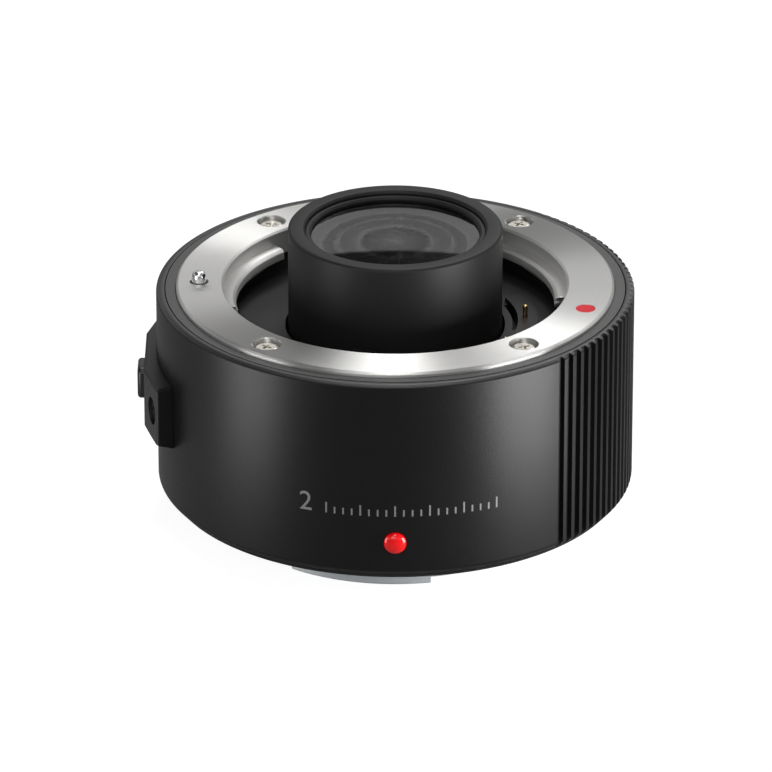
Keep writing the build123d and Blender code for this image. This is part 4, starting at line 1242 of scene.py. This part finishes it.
@dataclass
class Studio:
    """The floor, the lights, the world and the camera."""

    floor_z: float = -3.95
    floor_r: float = 900.0
    floor_albedo: float = 0.31
    floor_glow: float = 0.86
    glossy_share: float = 0.10
    # The radius of the painted shadow under the object, where reflected and refracted rays see the
    # floor without its glow.
    painted_shadow_r: float = 30.0
    world_level: float = 0.16
    room_dark: float = 0.05
    room_light: float = 0.25
    room_band: float = 1.1
    room_turn: tuple[float, float] = (-0.2, 0.2)
    band_rise: tuple[float, float] = (0.02, 0.48)
    band_end: tuple[float, float] = (0.488, 0.502)
    ring_centre: Place = (0.0, 0.0, 28.2)
    eye_distance: float = 929.5
    eye_elevation: float = math.degrees(0.42)
    look_down: float = 0.8087
    look_left: float = 0.0799
    lens: float = 338.88
    sensor: float = 36.0
    clip: tuple[float, float] = (0.05, 10.0)
    boxes: tuple = (
        SoftBox("overhead", 92.0, 65.0, 0.65, 0.12, 0.32, 8.5),
        SoftBox("back_right", 66.0, 43.0, 0.65, 0.26, 0.16, 6.0),
        SoftBox("top_front", -90.0, 66.0, 0.65, 0.16, 0.12, 9.0),
        SoftBox("front_fill", -105.0, 32.0, 0.60, 0.30, 0.20, 2.6),
        SoftBox("right_low", -37.0, -9.0, 0.078, 0.040, 0.040, 13.0),
        SoftBox("left_low", -148.0, -9.0, 0.078, 0.030, 0.040, 6.0),
    )

    def seen(self, graph: Graph) -> Wire:
        """One for the rays that see the studio as white, or else zero."""
        camera, glossy, passed = (graph.ray(kind) for kind in Rays)
        return camera.at_least(glossy).at_least(passed)

    def floor(self) -> None:
        """The pale floor; it can be looked through from below."""
        form = Form()
        bmesh.ops.create_circle(form.mesh, cap_ends=True, segments=96, radius=self.floor_r)
        form.moved(Matrix.Translation((0, 0, self.floor_z)))
        data = bpy.data.meshes.new("studio_floor")
        form.mesh.to_mesh(data)
        data.transform(Matrix.Scale(MM, 4))
        made = linked("studio_floor", data)
        paper = bpy.data.materials.new("studio_paper")
        paper.use_nodes = True
        graph = Graph(paper.node_tree)
        tone = graph.noise(60.0, 2.0)
        white = graph.mixed(tone, (self.floor_albedo,) * 3, (self.floor_albedo + 0.02,) * 3)
        matt = graph.node("ShaderNodeBsdfDiffuse", inputs={"Color": white})
        looked_at = graph.ray(Rays.CAMERA)
        mirrored = (self.seen(graph) - looked_at) * self.glossy_share
        # Inside this radius, under the object, reflected and refracted rays see the floor without
        # its glow: a painted shadow under the object.
        radius = graph.vector("LENGTH", graph.place() * FLAT)
        outside = radius.above(self.painted_shadow_r * MM)
        glow = graph.node("ShaderNodeEmission", inputs={
            "Strength": (looked_at + mirrored * outside) * self.floor_glow})
        lit = graph.node("ShaderNodeAddShader", inputs={0: matt, 1: glow})
        clear = graph.node("ShaderNodeBsdfTransparent")
        behind = graph.node("ShaderNodeNewGeometry", output="Backfacing")
        graph.surface(graph.node("ShaderNodeMixShader", inputs={0: behind, 1: lit, 2: clear}))
        data.materials.append(paper)
        made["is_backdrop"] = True

    def world(self) -> None:
        """The even light of the room, plain white where it is looked at."""
        scene = bpy.context.scene
        scene.world = scene.world or bpy.data.worlds.new("room")
        scene.world.use_nodes = True
        graph = Graph(scene.world.node_tree)
        room = graph.node("ShaderNodeBackground", inputs={
            "Color": (1.0, 1.0, 1.0), "Strength": self.world_level})
        looked_at = graph.ray(Rays.CAMERA)
        sides = graph.place("Generated")
        across = graph.node("ShaderNodeSeparateXYZ", inputs={0: sides})
        upward = graph.node("ShaderNodeSeparateXYZ", inputs={0: sides}, output=2)
        upper = across.graded(*self.room_turn, self.room_dark, self.room_light, "SMOOTHSTEP")
        risen = upward.graded(*self.band_rise, 0.0, self.room_band)
        wall = upper.at_least(risen * upward.graded(*self.band_end, 1.0, 0.0))
        white = graph.node("ShaderNodeBackground", inputs={
            "Color": (1.0, 1.0, 1.0), "Strength": wall.at_least(looked_at)})
        shown = graph.node("ShaderNodeMixShader", inputs={0: self.seen(graph), 1: room, 2: white})
        graph.node("ShaderNodeOutputWorld", inputs={"Surface": shown})

    def camera(self) -> None:
        """The camera at the photograph's angle."""
        data = bpy.data.cameras.new("camera")
        data.lens = self.lens
        data.sensor_width = self.sensor
        data.clip_start, data.clip_end = self.clip
        eye = linked("camera", data)
        centre = Vector(self.ring_centre)
        tilt = math.radians(self.eye_elevation)
        back = Vector((0, -math.cos(tilt), math.sin(tilt)))
        down = tilt + math.radians(self.look_down)
        forward = Matrix.Rotation(math.radians(self.look_left), 3, "Z") @ Vector(
            (0, math.cos(down), -math.sin(down)))
        eye.location = (centre + back * self.eye_distance) * MM
        eye.rotation_euler = forward.to_track_quat("-Z", "Y").to_euler()
        bpy.context.scene.camera = eye

    def build(self) -> None:
        """Sets up the studio."""
        self.floor()
        self.world()
        for box in self.boxes:
            box.build(Vector(self.ring_centre) * MM)
        self.camera()
        bpy.context.scene.view_settings.view_transform = "Standard"


def corners() -> list[list[float]]:
    """The box of all that is shown, as plain lists."""
    return [list(corner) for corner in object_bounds()]


def main() -> None:
    """Builds the whole picture."""
    logging.basicConfig(level=logging.INFO, format="%(message)s")
    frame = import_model()
    for part in (Barrel(), FrontMount(), LensTube(), LockPin(), ReleaseButton(), *SPRINGS):
        part.build()
    CarriedOver().dress(frame["nodes"])
    Studio().build()
    bpy.context.view_layer.update()


if __name__ == "__main__":
    main()
